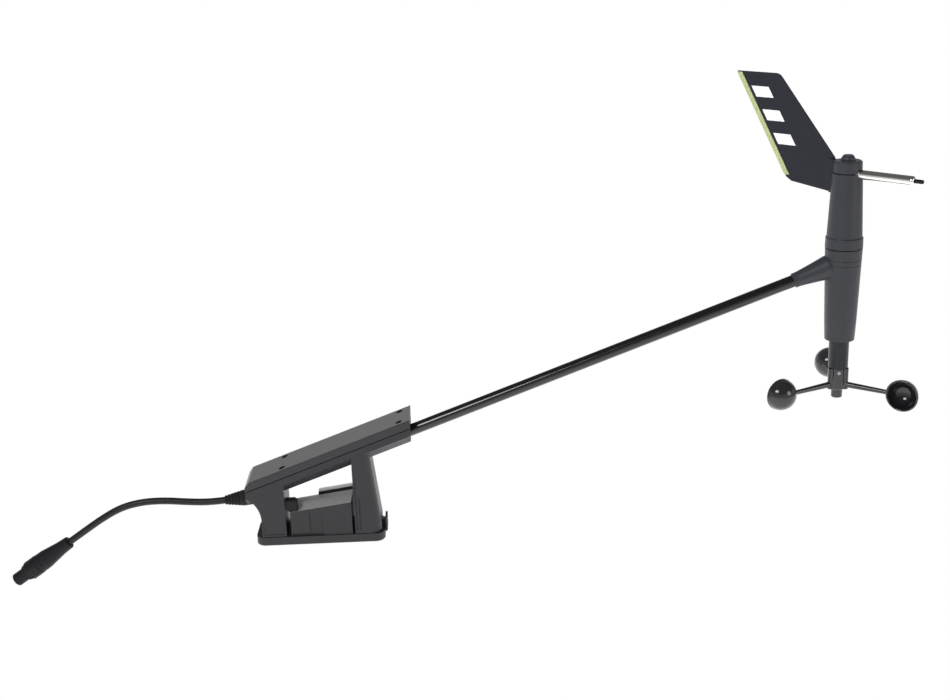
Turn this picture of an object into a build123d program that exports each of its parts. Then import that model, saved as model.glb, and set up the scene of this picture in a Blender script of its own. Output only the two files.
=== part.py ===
from build123d import *
import os
from math import atan2, cos, pi, radians, sin, tan

# Masthead cup anemometer: a wind vane above a barrel, three cups below it, a long arm,
# and a wedge housing that clips down over a bracket on the mast top.
# Millimetres. The origin is the centre of the bracket's mounting face, +Z is up and +X points
# along the arm to the head. The arm, the barrel and the cable lie in the plane y = 0.

# ---- fits and gaps -------------------------------------------------------------------------
RUN = 0.05            # radial clearance where one piece turns in another
SEAT = 0.03           # clearance where a piece is pressed, glued or screwed into place
GAP = 0.4             # space between pieces that move past each other

# ---- overall sizes -------------------------------------------------------------------------
HEAD_X = 459.0        # barrel axis, from the centre of the bracket
ARM_HEAD_Z = 235.4    # height where the arm's axis meets the barrel's axis
ARM_TILT = 20.2       # slope of the arm and of the housing, degrees
ARM_D = 10.5
ARM_BORE_D = 7.5
SEAM_Z = ARM_HEAD_Z + 12.6      # joint between the turning upper barrel and the fixed lower one
BARREL_TOP_Z = SEAM_Z + 64.0
BARREL_FOOT_Z = SEAM_Z - 81.5
ROTOR_Z = BARREL_FOOT_Z - 42.0  # height of the cup centres

# ---- bracket -------------------------------------------------------------------------------
PLATE_LEFT = -57.5
PLATE_RIGHT = 56.5
PLATE_W = 39.0
PLATE_T = 8.0
PLATE_CORNER_R = 8.0
HOLE_PITCH_X = 84.0
HOLE_PITCH_Y = 22.0
HOLE_D = 4.5
HOLE_HEAD_D = 8.6
PEG_L = 12.0
PEG_W = 8.0
PEG_H = 9.4
PEDESTAL_LEFT = -26.0
PEDESTAL_RIGHT = 28.2
PEDESTAL_FRONT = -18.4   # the pedestal and its rim take the whole width between these
PEDESTAL_MIDDLE = 11.5
PEDESTAL_BACK = 18.4
PEDESTAL_LEFT_Z = 31.2
PEDESTAL_RIGHT_Z = 38.6
PEDESTAL_WALL = 3.0
RIM_L = 31.0
RIM_H = 3.0
PANEL_L = 16.4
PANEL_LAND = 1.6
PANEL_GROOVE_D = 1.2
PANEL_GROOVE_L = 12.0
PANEL_SLOT_H = 3.0
STOP_L = 10.2
STOP_H = 10.4
STOP_W = 9.0

# ---- latch ---------------------------------------------------------------------------------
LATCH_X = 52.0        # pivot, along the bracket
LATCH_Z = 5.0         # pivot height
LATCH_W = 13.8
LATCH_T = 1.8
LATCH_TOP_Z = 17.2
LATCH_REACH = 6.6     # pivot to the outer face of the upright
LATCH_KNUCKLE_R = 1.8
LATCH_TRUNNION_R = 1.0
LATCH_TRUNNION_L = 2.0
NOSE_Z = 10.6
NOSE_H = 2.0
NOSE_OUT = 3.6
NOSE_W = 6.0
CATCH_DEPTH = 0.2     # space between the nose and the channel it sits in
CATCH_LIP = 0.4       # how far the lip under the nose stands out

# ---- sensor housing ------------------------------------------------------------------------
HOUSING_W = 38.0
HOUSING_LEFT = -64.0
HOUSING_RIGHT = 83.3
HOUSING_WALL = 2.5
BEAM_ABOVE = 15.6     # top of the cover above the arm's axis, square to it
BEAM_SIDE_H = 13.8    # height of the flat side, cover included
BELLY_UNDER_ARM = 1.35  # underside of the belly below the underside of the arm
BELLY_W = 18.0
LEG_GAP = 0.3         # leg ends above the bracket's plate
LEFT_LEG_OUT = -51.6
LEFT_LEG_IN = -30.2
RIGHT_LEG_IN = 30.6
RIGHT_LEG_OUT_TOP = 45.8
RIGHT_LEG_OUT = 53.9
RIGHT_LEG_STRAIGHT_Z = 16.0
LEG_THROAT_Z = 25.0   # where the left leg starts to flare out to the cable end
LEG_FLARE_Z = 46.5
LEG_POCKET_TOP_Z = 30.0
TRAY_FLOOR_T = 1.6    # floor of the tray over the belly's underside
TRAY_NARROW = 1.2     # the tray's floor is this much narrower each side than the belly
TRAY_SHOULDER = 1.0   # the tray's sides end this far above the outer ones
LEG_GROOVES = ((2.0, 53.7), (5.0, 33.7))   # from the right leg's inner face, and height
LEG_GROOVE_W = 1.4
LEG_GROOVE_D = 0.8
LEG_GROOVE_RISE = 4.0   # lower end above the foot
LABEL_INSET = 1.6     # plain sunk panel on the left leg
LABEL_D = 0.5
LABEL_RISE = 2.0
LABEL_H = 12.0
RIGHT_LEG_ROUND = 9.0
EDGE_R = 0.8

# ---- cover, gasket and board ---------------------------------------------------------------
COVER_T = 7.4
COVER_ROOF = 2.4
COVER_CHAMFER = 3.6
GASKET_T = 0.8
GASKET_INSET = 0.9
SCREW_LEFT_X = -25.3
SCREW_RIGHT_X = 79.0
SCREW_PITCH_Y = 25.7
SCREW_D = 3.0
SCREW_HEAD_D = 5.6
SCREW_HEAD_T = 1.8
SCREW_L = 14.0
SCREW_SINK = 0.5       # top of the head below the cover
SCREW_BLIND = 0.6      # the hole goes this much deeper than the screw
PILLAR_R = 3.4
BOARD_L = 52.0
BOARD_W = 17.0
BOARD_T = 1.6
BOARD_DROP = 3.0      # top of the board below the parting plane
BOARD_MID_X = 8.0
SOCKET_L = 30.0
SOCKET_W = 15.0
SOCKET_SADDLE = 1.2   # the clamp block ends this far above the tube's underside
ARM_IN_HOUSING = 38.0
PIN_D = 3.0
WIRE_COUNT = 4
WIRE_R = 0.6
WIRE_PITCH = 1.3
WIRE_RISE = 1.55      # wires above the bottom of the arm's bore
WIRE_TAIL = 6.0       # length past the arm's end in the housing

# ---- barrel --------------------------------------------------------------------------------
BARREL_SEAM_R = 15.7
BARREL_BAND_H = 9.5
BARREL_BAND_STEP = 0.8
BARREL_TOP_R = 12.5
BARREL_WAIST_Z = BARREL_FOOT_Z + 17.5
BARREL_WAIST_R = 13.6
BARREL_FOOT_R = 12.7
BARREL_WALL = 2.4
BARREL_ROOF = 3.4
RING_GROOVE_D = 0.35
SKIRT_R = 10.0        # labyrinth neck of the lower barrel
SKIRT_T = 1.6
SKIRT_H = 7.5
HUB_R = 8.6           # bearing tube of the upper barrel
BOSS_END_R = 6.4
BOSS_ROOT_R = 10.4
BOSS_L = 31.0         # boss end to the point where it meets the barrel's skin
BOSS_BARREL_S = 14.0  # barrel axis to that point, along the arm
ARM_IN_BOSS = 26.0

# ---- bearings, post and shaft --------------------------------------------------------------
BEARING_OD = 13.0
BEARING_ID = 5.0
BEARING_T = 4.0
BALL_D = 1.7
BALL_COUNT = 8
VANE_BEARING_LOW_Z = SEAM_Z + 10.0
VANE_BEARING_HIGH_Z = BARREL_TOP_Z - 16.0
POST_FOOT_R = 7.0
POST_FOOT_T = 3.5
CUP_BEARING_LOW_Z = BARREL_FOOT_Z - 24.9
CUP_BEARING_HIGH_Z = BARREL_FOOT_Z + 5.5
SHAFT_TOP_Z = BARREL_FOOT_Z + 17.5
CLIP_T = 0.8
CLIP_R = 4.0
CLIP_DEPTH = 0.5
MAGNET_R = 5.0
MAGNET_T = 3.5
VANE_MAGNET_R = 8.2
VANE_MAGNET_T = 2.6
HEAD_BOARD_W = 16.0
HEAD_BOARD_T = 1.6
HEAD_BOARD_LOW_Z = BARREL_FOOT_Z + 23.5
HEAD_BOARD_HIGH_Z = SEAM_Z - 10.0

# ---- vane ----------------------------------------------------------------------------------
VANE_YAW = 135.0      # direction of the blade about the barrel, degrees from +X
BLADE_T = 1.8
BLADE_TOP_Z = BARREL_TOP_Z + 78.0
BLADE_TRAIL_TOP_R = 110.0
BLADE_LEAD_TOP_R = 68.5
BLADE_ROOT_TOP_Z = BARREL_TOP_Z + 11.4
BLADE_ROOT_LOW_Z = BARREL_TOP_Z - 18.0
BLADE_TRAIL_LOW_R = 58.0
BLADE_TRAIL_LOW_Z = BARREL_TOP_Z - 9.5
BLADE_CORNER_R = 8.0
SPINE_T = 5.6
SPINE_IN_R = 10.6
SPINE_OUT_R = 16.4
STRIP_W = 3.6
STRIP_T = 0.35        # how far the strip stands proud of each side of the blade
MARK_COUNT = 3        # plain reflective bars on each side of the blade
MARK_TOP_Z = BLADE_TOP_Z - 12.0
MARK_PITCH = 19.5
MARK_H = 9.0
MARK_L = 17.0
MARK_INSET = 7.5      # from the blade's trailing edge
MARK_T = 0.25
CAP_H = 9.6
CAP_R = 11.9
CAP_SEAM = 0.8
KNOB_R = 6.0
KNOB_H = 4.7
KNOB_SHANK_R = 2.0
ROD_D = 8.0
ROD_Z = BARREL_TOP_Z - 0.4
ROD_START_R = 6.0
ROD_END_R = 60.5
ROD_TIP_D = 3.4
ROD_TIP_R = 68.0
ROD_SCREW_D = 3.0
ROD_SCREW_AT_R = 9.0   # distance of the rod's grub screw from the barrel axis

# ---- cups ----------------------------------------------------------------------------------
CUP_COUNT = 3
CUP_FIRST_YAW = 84.0
CUP_REACH = 58.5
CUP_R = 13.9          # outside of the hemisphere
CUP_WALL = 1.3
CUP_RIM_R = 0.9
CUP_OFFSET = 3.0      # cup's mouth in front of its arm
CUP_HUB_R = 9.8
CUP_HUB_LOW_Z = ROTOR_Z - 3.9
CUP_NUB_R = 4.95
CUP_NUB_LOW_Z = ROTOR_Z - 11.5
CUP_LOBE_R = 3.2
CUP_ARM_ROOT_R = 2.7
CUP_ARM_TIP_R = 2.0
CUP_ARM_ROOT_Z = ROTOR_Z + 0.9
SPINDLE_R = 8.55
SPINDLE_FLANGE_R = 10.6
SPINDLE_FLANGE_T = 3.0
SPINDLE_FOOT_Z = CUP_BEARING_LOW_Z - 1.0
SET_SCREW_D = 3.2
SET_SCREW_Z = SPINDLE_FOOT_Z - 4.0

# ---- cable and connector -------------------------------------------------------------------
CABLE_D = 6.2
CABLE_EXIT = (-85.0, 0.0, 37.5)
CABLE_ROUTE = [
    CABLE_EXIT,
    (-98.0, 0.0, 36.2),
    (-117.0, 0.4, 37.0),
    (-139.0, 0.7, 39.2),
    (-159.0, 0.3, 38.9),
    (-178.0, -0.4, 34.6),
    (-195.5, -0.8, 25.0),
    (-212.0, -0.5, 13.8),
    (-227.5, 0.0, 3.0),
]
RELIEF_IN = 4.0       # how deep the strain relief sits inside the housing's end wall
RELIEF_ROOT_R = 7.0
RELIEF_TIP_R = 4.6
RELIEF_RING_COUNT = 4
GRIP_L = 36.0
GRIP_BACK_R = 5.6
GRIP_FRONT_R = 8.6
GRIP_CORE_R = 5.4
RING_L = 11.6
RING_R = 8.8
RING_NOTCHES = 12
COLLAR_R = 7.6
COLLAR_L = 2.0
NOSE_PIN_R = 6.0
NOSE_PIN_L = 13.4
INSERT_R = 4.8
INSERT_DEPTH = 7.0
CONTACT_COUNT = 5
CONTACT_R = 0.5
CONTACT_PITCH_R = 2.6
CONTACT_L = 6.0
GLAND_R = 5.6         # groove between the collar and the nose's mating wall
GLAND_L = 2.0
SEAL_WIRE_R = 0.8     # rubber ring in that groove

# ---- worked-out places ---------------------------------------------------------------------
TILT_X = cos(radians(ARM_TILT))
TILT_Z = sin(radians(ARM_TILT))
ARM_R = ARM_D / 2
BELLY_BELOW = ARM_R + BELLY_UNDER_ARM   # underside of the belly below the arm's axis
HALF_W = HOUSING_W / 2
LEG_FOOT_Z = PLATE_T + LEG_GAP
PARTING = BEAM_ABOVE - COVER_T
SOCKET_END_X = HOUSING_RIGHT - HOUSING_WALL - SEAT
SOCKET_START_X = SOCKET_END_X - SOCKET_L * TILT_X
PIN_X = (SOCKET_START_X + SOCKET_END_X) / 2
SCREW_TOP = BEAM_ABOVE - SCREW_SINK
SET_SCREW_YAW = CUP_FIRST_YAW + 180
BALL_RING_R = (BEARING_OD + BEARING_ID) / 4
CUP_HUB_TOP_Z = SPINDLE_FOOT_Z - GAP
POST_BASE_Z = SEAM_Z - GAP - BARREL_ROOF - POST_FOOT_T
CAP_LOW_Z = BARREL_TOP_Z + CAP_SEAM
CAP_TOP_Z = CAP_LOW_Z + CAP_H


def arm_z(x):
    """Height of the arm's axis above the mounting face at x."""
    return ARM_HEAD_Z - (HEAD_X - x) * TILT_Z / TILT_X


def tilted(x, height):
    """Point in the plane y = 0, square to the arm by height, at x measured along the bracket."""
    return (x, arm_z(x) + height / TILT_X)


def beam_plane(x):
    """Plane square to the arm where its axis crosses x: local x is +Y, local y is up."""
    return Plane(origin=(x, 0, arm_z(x)), x_dir=(0, 1, 0), z_dir=(TILT_X, 0, TILT_Z))


def side_plane(y=0):
    """Plane parallel to XZ whose local axes are +X and +Z and whose normal is -Y."""
    return Plane(origin=(0, y, 0), x_dir=(1, 0, 0), z_dir=(0, -1, 0))


def wall(points, width):
    """Closed outline in XZ, extruded evenly to both sides of y = 0."""
    return extrude(side_plane() * make_face(Polyline(*points, close=True)), width / 2, both=True)


def wall_between(points, front, back):
    """Closed outline in XZ, extruded from y = front to y = back."""
    middle = (front + back) / 2
    return Pos(0, middle, 0) * wall(points, back - front)


def rod(start, end, radius):
    """Round bar between two points."""
    axis = Vector(*end) - Vector(*start)
    place = Plane(origin=start, z_dir=axis)
    return extrude(place * Circle(radius), axis.length)


def block(x0, x1, y0, y1, z0, z1):
    middle = ((x0 + x1) / 2, (y0 + y1) / 2, (z0 + z1) / 2)
    return Pos(*middle) * Box(x1 - x0, y1 - y0, z1 - z0)


def turned(points):
    """Solid of revolution about the barrel axis from (radius, height) points."""
    outline = make_face(Polyline(*points, close=True))
    return Pos(HEAD_X, 0, 0) * revolve(side_plane() * outline, Axis.Z)


def tube(outer, inner, low, high):
    return turned([(inner, low), (outer, low), (outer, high), (inner, high)])


def about_head(shape, yaw):
    """Turn a shape, drawn along +X from the barrel axis, to its direction about that axis."""
    return Pos(HEAD_X, 0, 0) * (Rot(0, 0, yaw) * shape)


def group(shapes):
    return Compound(children=[piece for shape in shapes for piece in shape.solids()])


# ---- bracket -------------------------------------------------------------------------------
def pedestal_z(x):
    share = (x - PEDESTAL_LEFT) / (PEDESTAL_RIGHT - PEDESTAL_LEFT)
    return PEDESTAL_LEFT_Z + share * (PEDESTAL_RIGHT_Z - PEDESTAL_LEFT_Z)


def pedestal_outline(inset, low):
    left = PEDESTAL_LEFT + inset
    right = PEDESTAL_RIGHT - inset
    return [(left, low), (right, low), (right, pedestal_z(right) - inset), (left, pedestal_z(left) - inset)]


def screw_places():
    signs = (-1, 1)
    return [(x * HOLE_PITCH_X / 2, y * HOLE_PITCH_Y / 2) for x in signs for y in signs]


def make_bracket():
    middle = (PLATE_LEFT + PLATE_RIGHT) / 2
    plate = Pos(middle, 0, PLATE_T / 2) * Box(PLATE_RIGHT - PLATE_LEFT, PLATE_W, PLATE_T)
    plate = fillet(plate.edges().filter_by(Axis.Z), PLATE_CORNER_R)
    plate = chamfer(plate.edges().group_by(Axis.Z)[0], 1.0)
    body = plate + wall_between(pedestal_outline(0, PLATE_T / 2), PEDESTAL_FRONT, PEDESTAL_MIDDLE)
    rim_left = PEDESTAL_RIGHT - RIM_L
    rim = [(rim_left, PLATE_T), (PEDESTAL_RIGHT, PLATE_T),
           (PEDESTAL_RIGHT, pedestal_z(PEDESTAL_RIGHT) + RIM_H), (rim_left, pedestal_z(rim_left) + RIM_H)]
    body += wall_between(rim, PEDESTAL_MIDDLE - 1, PEDESTAL_BACK)
    body -= wall_between(pedestal_outline(PEDESTAL_WALL, -1), PEDESTAL_FRONT + PEDESTAL_WALL,
                         PEDESTAL_MIDDLE - PEDESTAL_WALL)
    # a groove divides the front into two panels, and a slot runs under the left one
    groove_left = PEDESTAL_LEFT + PANEL_L
    deep = PEDESTAL_FRONT + PANEL_GROOVE_D
    body -= block(groove_left, groove_left + PANEL_GROOVE_L, PEDESTAL_FRONT - 1, deep, PLATE_T,
                  PEDESTAL_LEFT_Z - PANEL_LAND)
    body -= block(PEDESTAL_LEFT + 1, groove_left, PEDESTAL_FRONT - 1, deep, PLATE_T, PLATE_T + PANEL_SLOT_H)
    for x in (-HOLE_PITCH_X / 2, HOLE_PITCH_X / 2):
        body += block(x - PEG_L / 2, x + PEG_L / 2, -PEG_W / 2, PEG_W / 2, PLATE_T / 2, PLATE_T + PEG_H)
    for x, y in screw_places():
        body -= Pos(x, y, PLATE_T / 2) * Cylinder(HOLE_D / 2, PLATE_T + 2)
        cone_h = (HOLE_HEAD_D - HOLE_D) / 2
        body -= Pos(x, y, PLATE_T - cone_h / 2) * Cone(HOLE_D / 2, HOLE_HEAD_D / 2, cone_h)
    return body - latch_notch()


def latch_notch():
    """Room in the plate's end for the latch, with the two holes its trunnions turn in."""
    half = LATCH_W / 2 + GAP
    room = block(LATCH_X - LATCH_KNUCKLE_R - GAP, PLATE_RIGHT + 1, -half, half,
                 LATCH_Z - LATCH_KNUCKLE_R - 1.2, PLATE_T + 1)
    reach = LATCH_W / 2 + LATCH_TRUNNION_L + GAP
    return room + rod((LATCH_X, -reach, LATCH_Z), (LATCH_X, reach, LATCH_Z), LATCH_TRUNNION_R + RUN)


def make_stop():
    """Rubber block on the pedestal's left shoulder that the housing's leg comes down beside."""
    left = LEFT_LEG_IN + GAP
    right = left + STOP_L
    low = pedestal_z(PEDESTAL_LEFT) + SEAT
    outline = [(PEDESTAL_LEFT, low), (left, low + 3), (left, low + STOP_H), (right - 2, low + STOP_H),
               (right, low + STOP_H - 2), (right, pedestal_z(right) + SEAT)]
    front = PEDESTAL_FRONT + 0.6
    return wall_between(outline, front, front + STOP_W)


def make_latch():
    """Release tab: a knuckle with two trunnions, a foot, an upright and a small nose."""
    outer = LATCH_X + LATCH_REACH
    foot_low = LATCH_Z - LATCH_T / 2
    foot = block(LATCH_X, outer - LATCH_T / 2, -LATCH_W / 2, LATCH_W / 2, foot_low, foot_low + LATCH_T)
    upright = block(outer - LATCH_T, outer, -LATCH_W / 2, LATCH_W / 2, foot_low, LATCH_TOP_Z)
    body = foot + upright
    elbow = body.edges().filter_by(Axis.Y).sort_by(Axis.X)[-2:].sort_by(Axis.Z)[0]
    body = fillet(elbow, LATCH_T * 0.9)
    body += rod((LATCH_X, -LATCH_W / 2, LATCH_Z), (LATCH_X, LATCH_W / 2, LATCH_Z), LATCH_KNUCKLE_R)
    reach = LATCH_W / 2 + LATCH_TRUNNION_L
    body += rod((LATCH_X, -reach, LATCH_Z), (LATCH_X, reach, LATCH_Z), LATCH_TRUNNION_R)
    face = outer - LATCH_T
    nose = [(face + 0.5, NOSE_Z), (face - NOSE_OUT, NOSE_Z), (face - NOSE_OUT, NOSE_Z + NOSE_H / 2),
            (face + 0.5, NOSE_Z + NOSE_H)]
    return body + wall(nose, NOSE_W)


def catch_channel():
    """Space in the right leg's end for the latch's upright and its nose."""
    face = LATCH_X + LATCH_REACH - LATCH_T
    floor = face - NOSE_OUT - CATCH_DEPTH
    top = NOSE_Z + NOSE_H + 1.0
    outline = [(floor, top), (floor, NOSE_Z - CATCH_DEPTH), (floor + CATCH_LIP, LEG_FOOT_Z - 1),
               (face + LATCH_T, LEG_FOOT_Z - 1), (face + LATCH_T, top)]
    return wall(outline, NOSE_W + 2 * GAP)


# ---- housing -------------------------------------------------------------------------------
def flat_section(high, low, half):
    return [(-half, high), (half, high), (half, low), (-half, low)]


def belly_section(high, side_low, low, half, belly_half):
    """Flat sides down to side_low, then slanting in to a narrower underside at low."""
    return [(-half, high), (half, high), (half, side_low), (belly_half, low), (-belly_half, low),
            (-half, side_low)]


def beam(x0, x1, section):
    """Bar along the arm's slope with the given section, between two upright cuts."""
    margin = 30.0
    length = (x1 - x0) / TILT_X + 2 * margin
    start = beam_plane(x0 - margin * TILT_X)
    bar = extrude(start * make_face(Polyline(*section, close=True)), length)
    return bar & block(x0, x1, -HOUSING_W, HOUSING_W, -50, 200)


def leg_outlines():
    """Left and right leg, from the plate up into the beam."""
    top = BEAM_ABOVE - BEAM_SIDE_H + 1.0
    flare = ThreePointArc((LEFT_LEG_OUT, LEG_THROAT_Z), (LEFT_LEG_OUT - 3.6, LEG_THROAT_Z + 12.6),
                          (HOUSING_LEFT, LEG_FLARE_Z))
    left = Polyline((HOUSING_LEFT, LEG_FLARE_Z), tilted(HOUSING_LEFT, top), tilted(LEFT_LEG_IN, top),
                    (LEFT_LEG_IN, LEG_FOOT_Z), (LEFT_LEG_OUT, LEG_FOOT_Z), (LEFT_LEG_OUT, LEG_THROAT_Z))
    right = [(RIGHT_LEG_IN, LEG_FOOT_Z), (RIGHT_LEG_OUT, LEG_FOOT_Z), (RIGHT_LEG_OUT, RIGHT_LEG_STRAIGHT_Z),
             tilted(RIGHT_LEG_OUT_TOP, top), tilted(RIGHT_LEG_IN, top)]
    return make_face(left + flare), make_face(Polyline(*right, close=True))


def make_legs():
    left_face, right_face = leg_outlines()
    left = extrude(side_plane() * left_face, HALF_W, both=True)
    right = extrude(side_plane() * right_face, HALF_W, both=True)
    slant = right.edges().filter_by(GeomType.LINE).filter_by(Axis.Y, reverse=True)
    outer = slant.filter_by(lambda edge: edge.center().X > RIGHT_LEG_OUT_TOP and abs(edge.center().Y) > 1
                            and edge.bounding_box().size.Z > 4)
    right = fillet(outer, RIGHT_LEG_ROUND)
    return left, right


def leg_pockets():
    inset = HOUSING_WALL
    half = HALF_W - inset
    left = block(LEFT_LEG_OUT + inset, LEFT_LEG_IN - inset, -half, half, 0, LEG_POCKET_TOP_Z)
    right = block(RIGHT_LEG_IN + inset, LATCH_X - LATCH_KNUCKLE_R - GAP, -half, half, 0, LEG_POCKET_TOP_Z)
    return left + right


def pillar_places():
    signs = (-1, 1)
    return [(x, y * SCREW_PITCH_Y / 2) for x in (SCREW_LEFT_X, SCREW_RIGHT_X) for y in signs]


def along_beam(x, y, height):
    """World point over x on the arm's axis line, at y, square to the arm by height."""
    return (x - height * TILT_Z, y, arm_z(x) + height * TILT_X)


def make_housing():
    side_low = BEAM_ABOVE - BEAM_SIDE_H
    rim = PARTING - GASKET_T / 2
    outer = beam(HOUSING_LEFT, HOUSING_RIGHT, belly_section(rim, side_low, -BELLY_BELOW, HALF_W, BELLY_W / 2))
    left, right = make_legs()
    body = outer + left + right
    top_cut = beam(HOUSING_LEFT - 5, HOUSING_RIGHT + 5, flat_section(rim + 60, rim, HALF_W + 5))
    body -= top_cut
    body -= leg_pockets()
    tray_half = HALF_W - HOUSING_WALL
    tray = beam(HOUSING_LEFT + HOUSING_WALL, HOUSING_RIGHT - HOUSING_WALL,
                belly_section(rim + 10, side_low + TRAY_SHOULDER, -BELLY_BELOW + TRAY_FLOOR_T, tray_half,
                              BELLY_W / 2 - TRAY_NARROW))
    pillar_low = -BELLY_BELOW + TRAY_FLOOR_T + 0.4
    pillars = [rod(along_beam(x, y, pillar_low), along_beam(x, y, rim), PILLAR_R)
               for x, y in pillar_places()]
    solid_beam = outer - tray
    for pillar in pillars:
        solid_beam += pillar & outer
    body = (body - tray) + solid_beam
    body -= rod((HOUSING_RIGHT - ARM_IN_HOUSING * TILT_X, 0, arm_z(HOUSING_RIGHT - ARM_IN_HOUSING * TILT_X)),
                (HOUSING_RIGHT + 20, 0, arm_z(HOUSING_RIGHT + 20)), ARM_R + SEAT)
    for x, y in pillar_places():
        hole_end = SCREW_TOP - SCREW_L - SCREW_BLIND
        body -= rod(along_beam(x, y, hole_end), along_beam(x, y, rim + 5), SCREW_D / 2 + SEAT)
    relief_start, relief_end = relief_line()
    body -= rod(relief_start, relief_end, RELIEF_ROOT_R + SEAT)
    body -= catch_channel()
    return dress_legs(body)


def dress_legs(body):
    """Shallow grooves on the right leg and a plain sunk panel on the left one, both sides."""
    for side in (-1, 1):
        face_y = side * HALF_W
        for offset, height in LEG_GROOVES:
            x = RIGHT_LEG_IN + offset
            low = LEG_FOOT_Z + LEG_GROOVE_RISE
            body -= block(x - LEG_GROOVE_W / 2, x + LEG_GROOVE_W / 2, face_y - LEG_GROOVE_D,
                          face_y + LEG_GROOVE_D, low, LEG_FOOT_Z + height)
        low = LEG_FOOT_Z + LABEL_RISE
        body -= block(LEFT_LEG_OUT + LABEL_INSET, LEFT_LEG_IN - LABEL_INSET, face_y - LABEL_D,
                      face_y + LABEL_D, low, low + LABEL_H)
    return body


def make_cover():
    side_low = PARTING + GASKET_T / 2
    left = HOUSING_LEFT
    shell = beam(left, HOUSING_RIGHT, flat_section(BEAM_ABOVE, side_low, HALF_W))
    corner = tilted(left, BEAM_ABOVE)
    slope_end = tilted(left + COVER_CHAMFER, BEAM_ABOVE)
    cut = [(left - 1, corner[1] - COVER_CHAMFER), (left, corner[1] - COVER_CHAMFER), slope_end,
           (slope_end[0], slope_end[1] + 5), (left - 1, slope_end[1] + 5)]
    shell -= wall(cut, HOUSING_W + 2)
    top_edges = shell.edges().filter_by(lambda edge: edge.length > 100 and edge.center().Z > arm_z(10) + 12)
    shell = fillet(top_edges, EDGE_R)
    inner_half = HALF_W - HOUSING_WALL
    shell -= beam(left + HOUSING_WALL + COVER_CHAMFER, HOUSING_RIGHT - HOUSING_WALL,
                  flat_section(BEAM_ABOVE - COVER_ROOF, side_low - 2, inner_half))
    for x, y in pillar_places():
        boss = rod(along_beam(x, y, side_low), along_beam(x, y, BEAM_ABOVE - 1), PILLAR_R)
        shell += boss
        shell -= rod(along_beam(x, y, side_low - 2), along_beam(x, y, BEAM_ABOVE + 2), SCREW_D / 2 + 0.1)
        shell -= rod(along_beam(x, y, SCREW_TOP - SCREW_HEAD_T - SEAT), along_beam(x, y, BEAM_ABOVE + 2),
                     SCREW_HEAD_D / 2 + 0.2)
    return shell


def make_gasket():
    low = PARTING - GASKET_T / 2 + SEAT
    high = PARTING + GASKET_T / 2 - SEAT
    inset = GASKET_INSET
    ring = beam(HOUSING_LEFT + inset, HOUSING_RIGHT - inset, flat_section(high, low, HALF_W - inset))
    hole_half = HALF_W - HOUSING_WALL + 0.2
    ring -= beam(HOUSING_LEFT + HOUSING_WALL - 0.2, HOUSING_RIGHT - HOUSING_WALL + 0.2,
                 flat_section(high + 1, low - 1, hole_half))
    return ring


def make_cover_screw(x, y):
    under_head = SCREW_TOP - SCREW_HEAD_T
    head = rod(along_beam(x, y, under_head), along_beam(x, y, SCREW_TOP), SCREW_HEAD_D / 2)
    shank = rod(along_beam(x, y, SCREW_TOP - SCREW_L), along_beam(x, y, under_head), SCREW_D / 2)
    recess = rod(along_beam(x, y, SCREW_TOP - 1.0), along_beam(x, y, SCREW_TOP + 1), SCREW_D * 0.43)
    return head + shank - recess


def make_board():
    """Circuit board on the tray's floor line with a few parts on it."""
    plane = beam_plane(BOARD_MID_X - BOARD_L / 2)
    top = PARTING - GASKET_T / 2 - BOARD_DROP
    flat = plane * Pos(0, top - BOARD_T / 2, BOARD_L / 2) * Box(BOARD_W, BOARD_T, BOARD_L)
    chips = plane * Pos(0, top + 0.7, BOARD_L * 0.35) * Box(9, 1.4, 9)
    plug = plane * Pos(0, top + 1.2, BOARD_L - 6) * Box(12, 2.4, 5)
    cap = plane * Pos(-4, top + 1.0, BOARD_L * 0.62) * Box(4, 2.0, 6)
    return flat + chips + plug + cap


def make_socket():
    """Clamp block in the tray that holds the arm."""
    end_x = SOCKET_END_X
    start_x = SOCKET_START_X
    section = flat_section(PARTING - GASKET_T, SOCKET_SADDLE - ARM_R, SOCKET_W / 2)
    body = beam(start_x, end_x, section)
    body -= rod((start_x - 10, 0, arm_z(start_x - 10)), (end_x + 10, 0, arm_z(end_x + 10)), ARM_R + SEAT)
    return body - pin_bar(SOCKET_W, PIN_D / 2 + SEAT)


def pin_bar(half, radius):
    """Round bar across the arm at its pin, reaching half to each side."""
    return rod((PIN_X, -half, arm_z(PIN_X)), (PIN_X, half, arm_z(PIN_X)), radius)


def make_arm():
    start_x = HOUSING_RIGHT - ARM_IN_HOUSING * TILT_X
    end = boss_point(BOSS_BARREL_S + BOSS_L - ARM_IN_BOSS)
    start = (start_x, 0, arm_z(start_x))
    body = rod(start, end, ARM_R) - rod(start, end, ARM_BORE_D / 2)
    return body - pin_bar(SOCKET_W, PIN_D / 2 + SEAT)


def make_arm_pin():
    return pin_bar(SOCKET_W / 2, PIN_D / 2)


def make_arm_wires():
    """Flat bundle of insulated wires inside the arm."""
    start_x = HOUSING_RIGHT - (ARM_IN_HOUSING + WIRE_TAIL) * TILT_X
    end = boss_point(BARREL_WAIST_R - 4)
    low = -ARM_BORE_D / 2 + WIRE_RISE
    wires = []
    for row in range(WIRE_COUNT):
        y = (row - (WIRE_COUNT - 1) / 2) * WIRE_PITCH
        start = along_beam(start_x, y, low)
        stop = (end[0] - low * TILT_Z, y, end[2] + low * TILT_X)
        wires.append(rod(start, stop, WIRE_R))
    return group(wires)


# ---- barrel --------------------------------------------------------------------------------
def boss_point(distance):
    """Point on the arm's axis at a distance from the barrel's axis."""
    return (HEAD_X - distance * TILT_X, 0, ARM_HEAD_Z - distance * TILT_Z)


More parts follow.
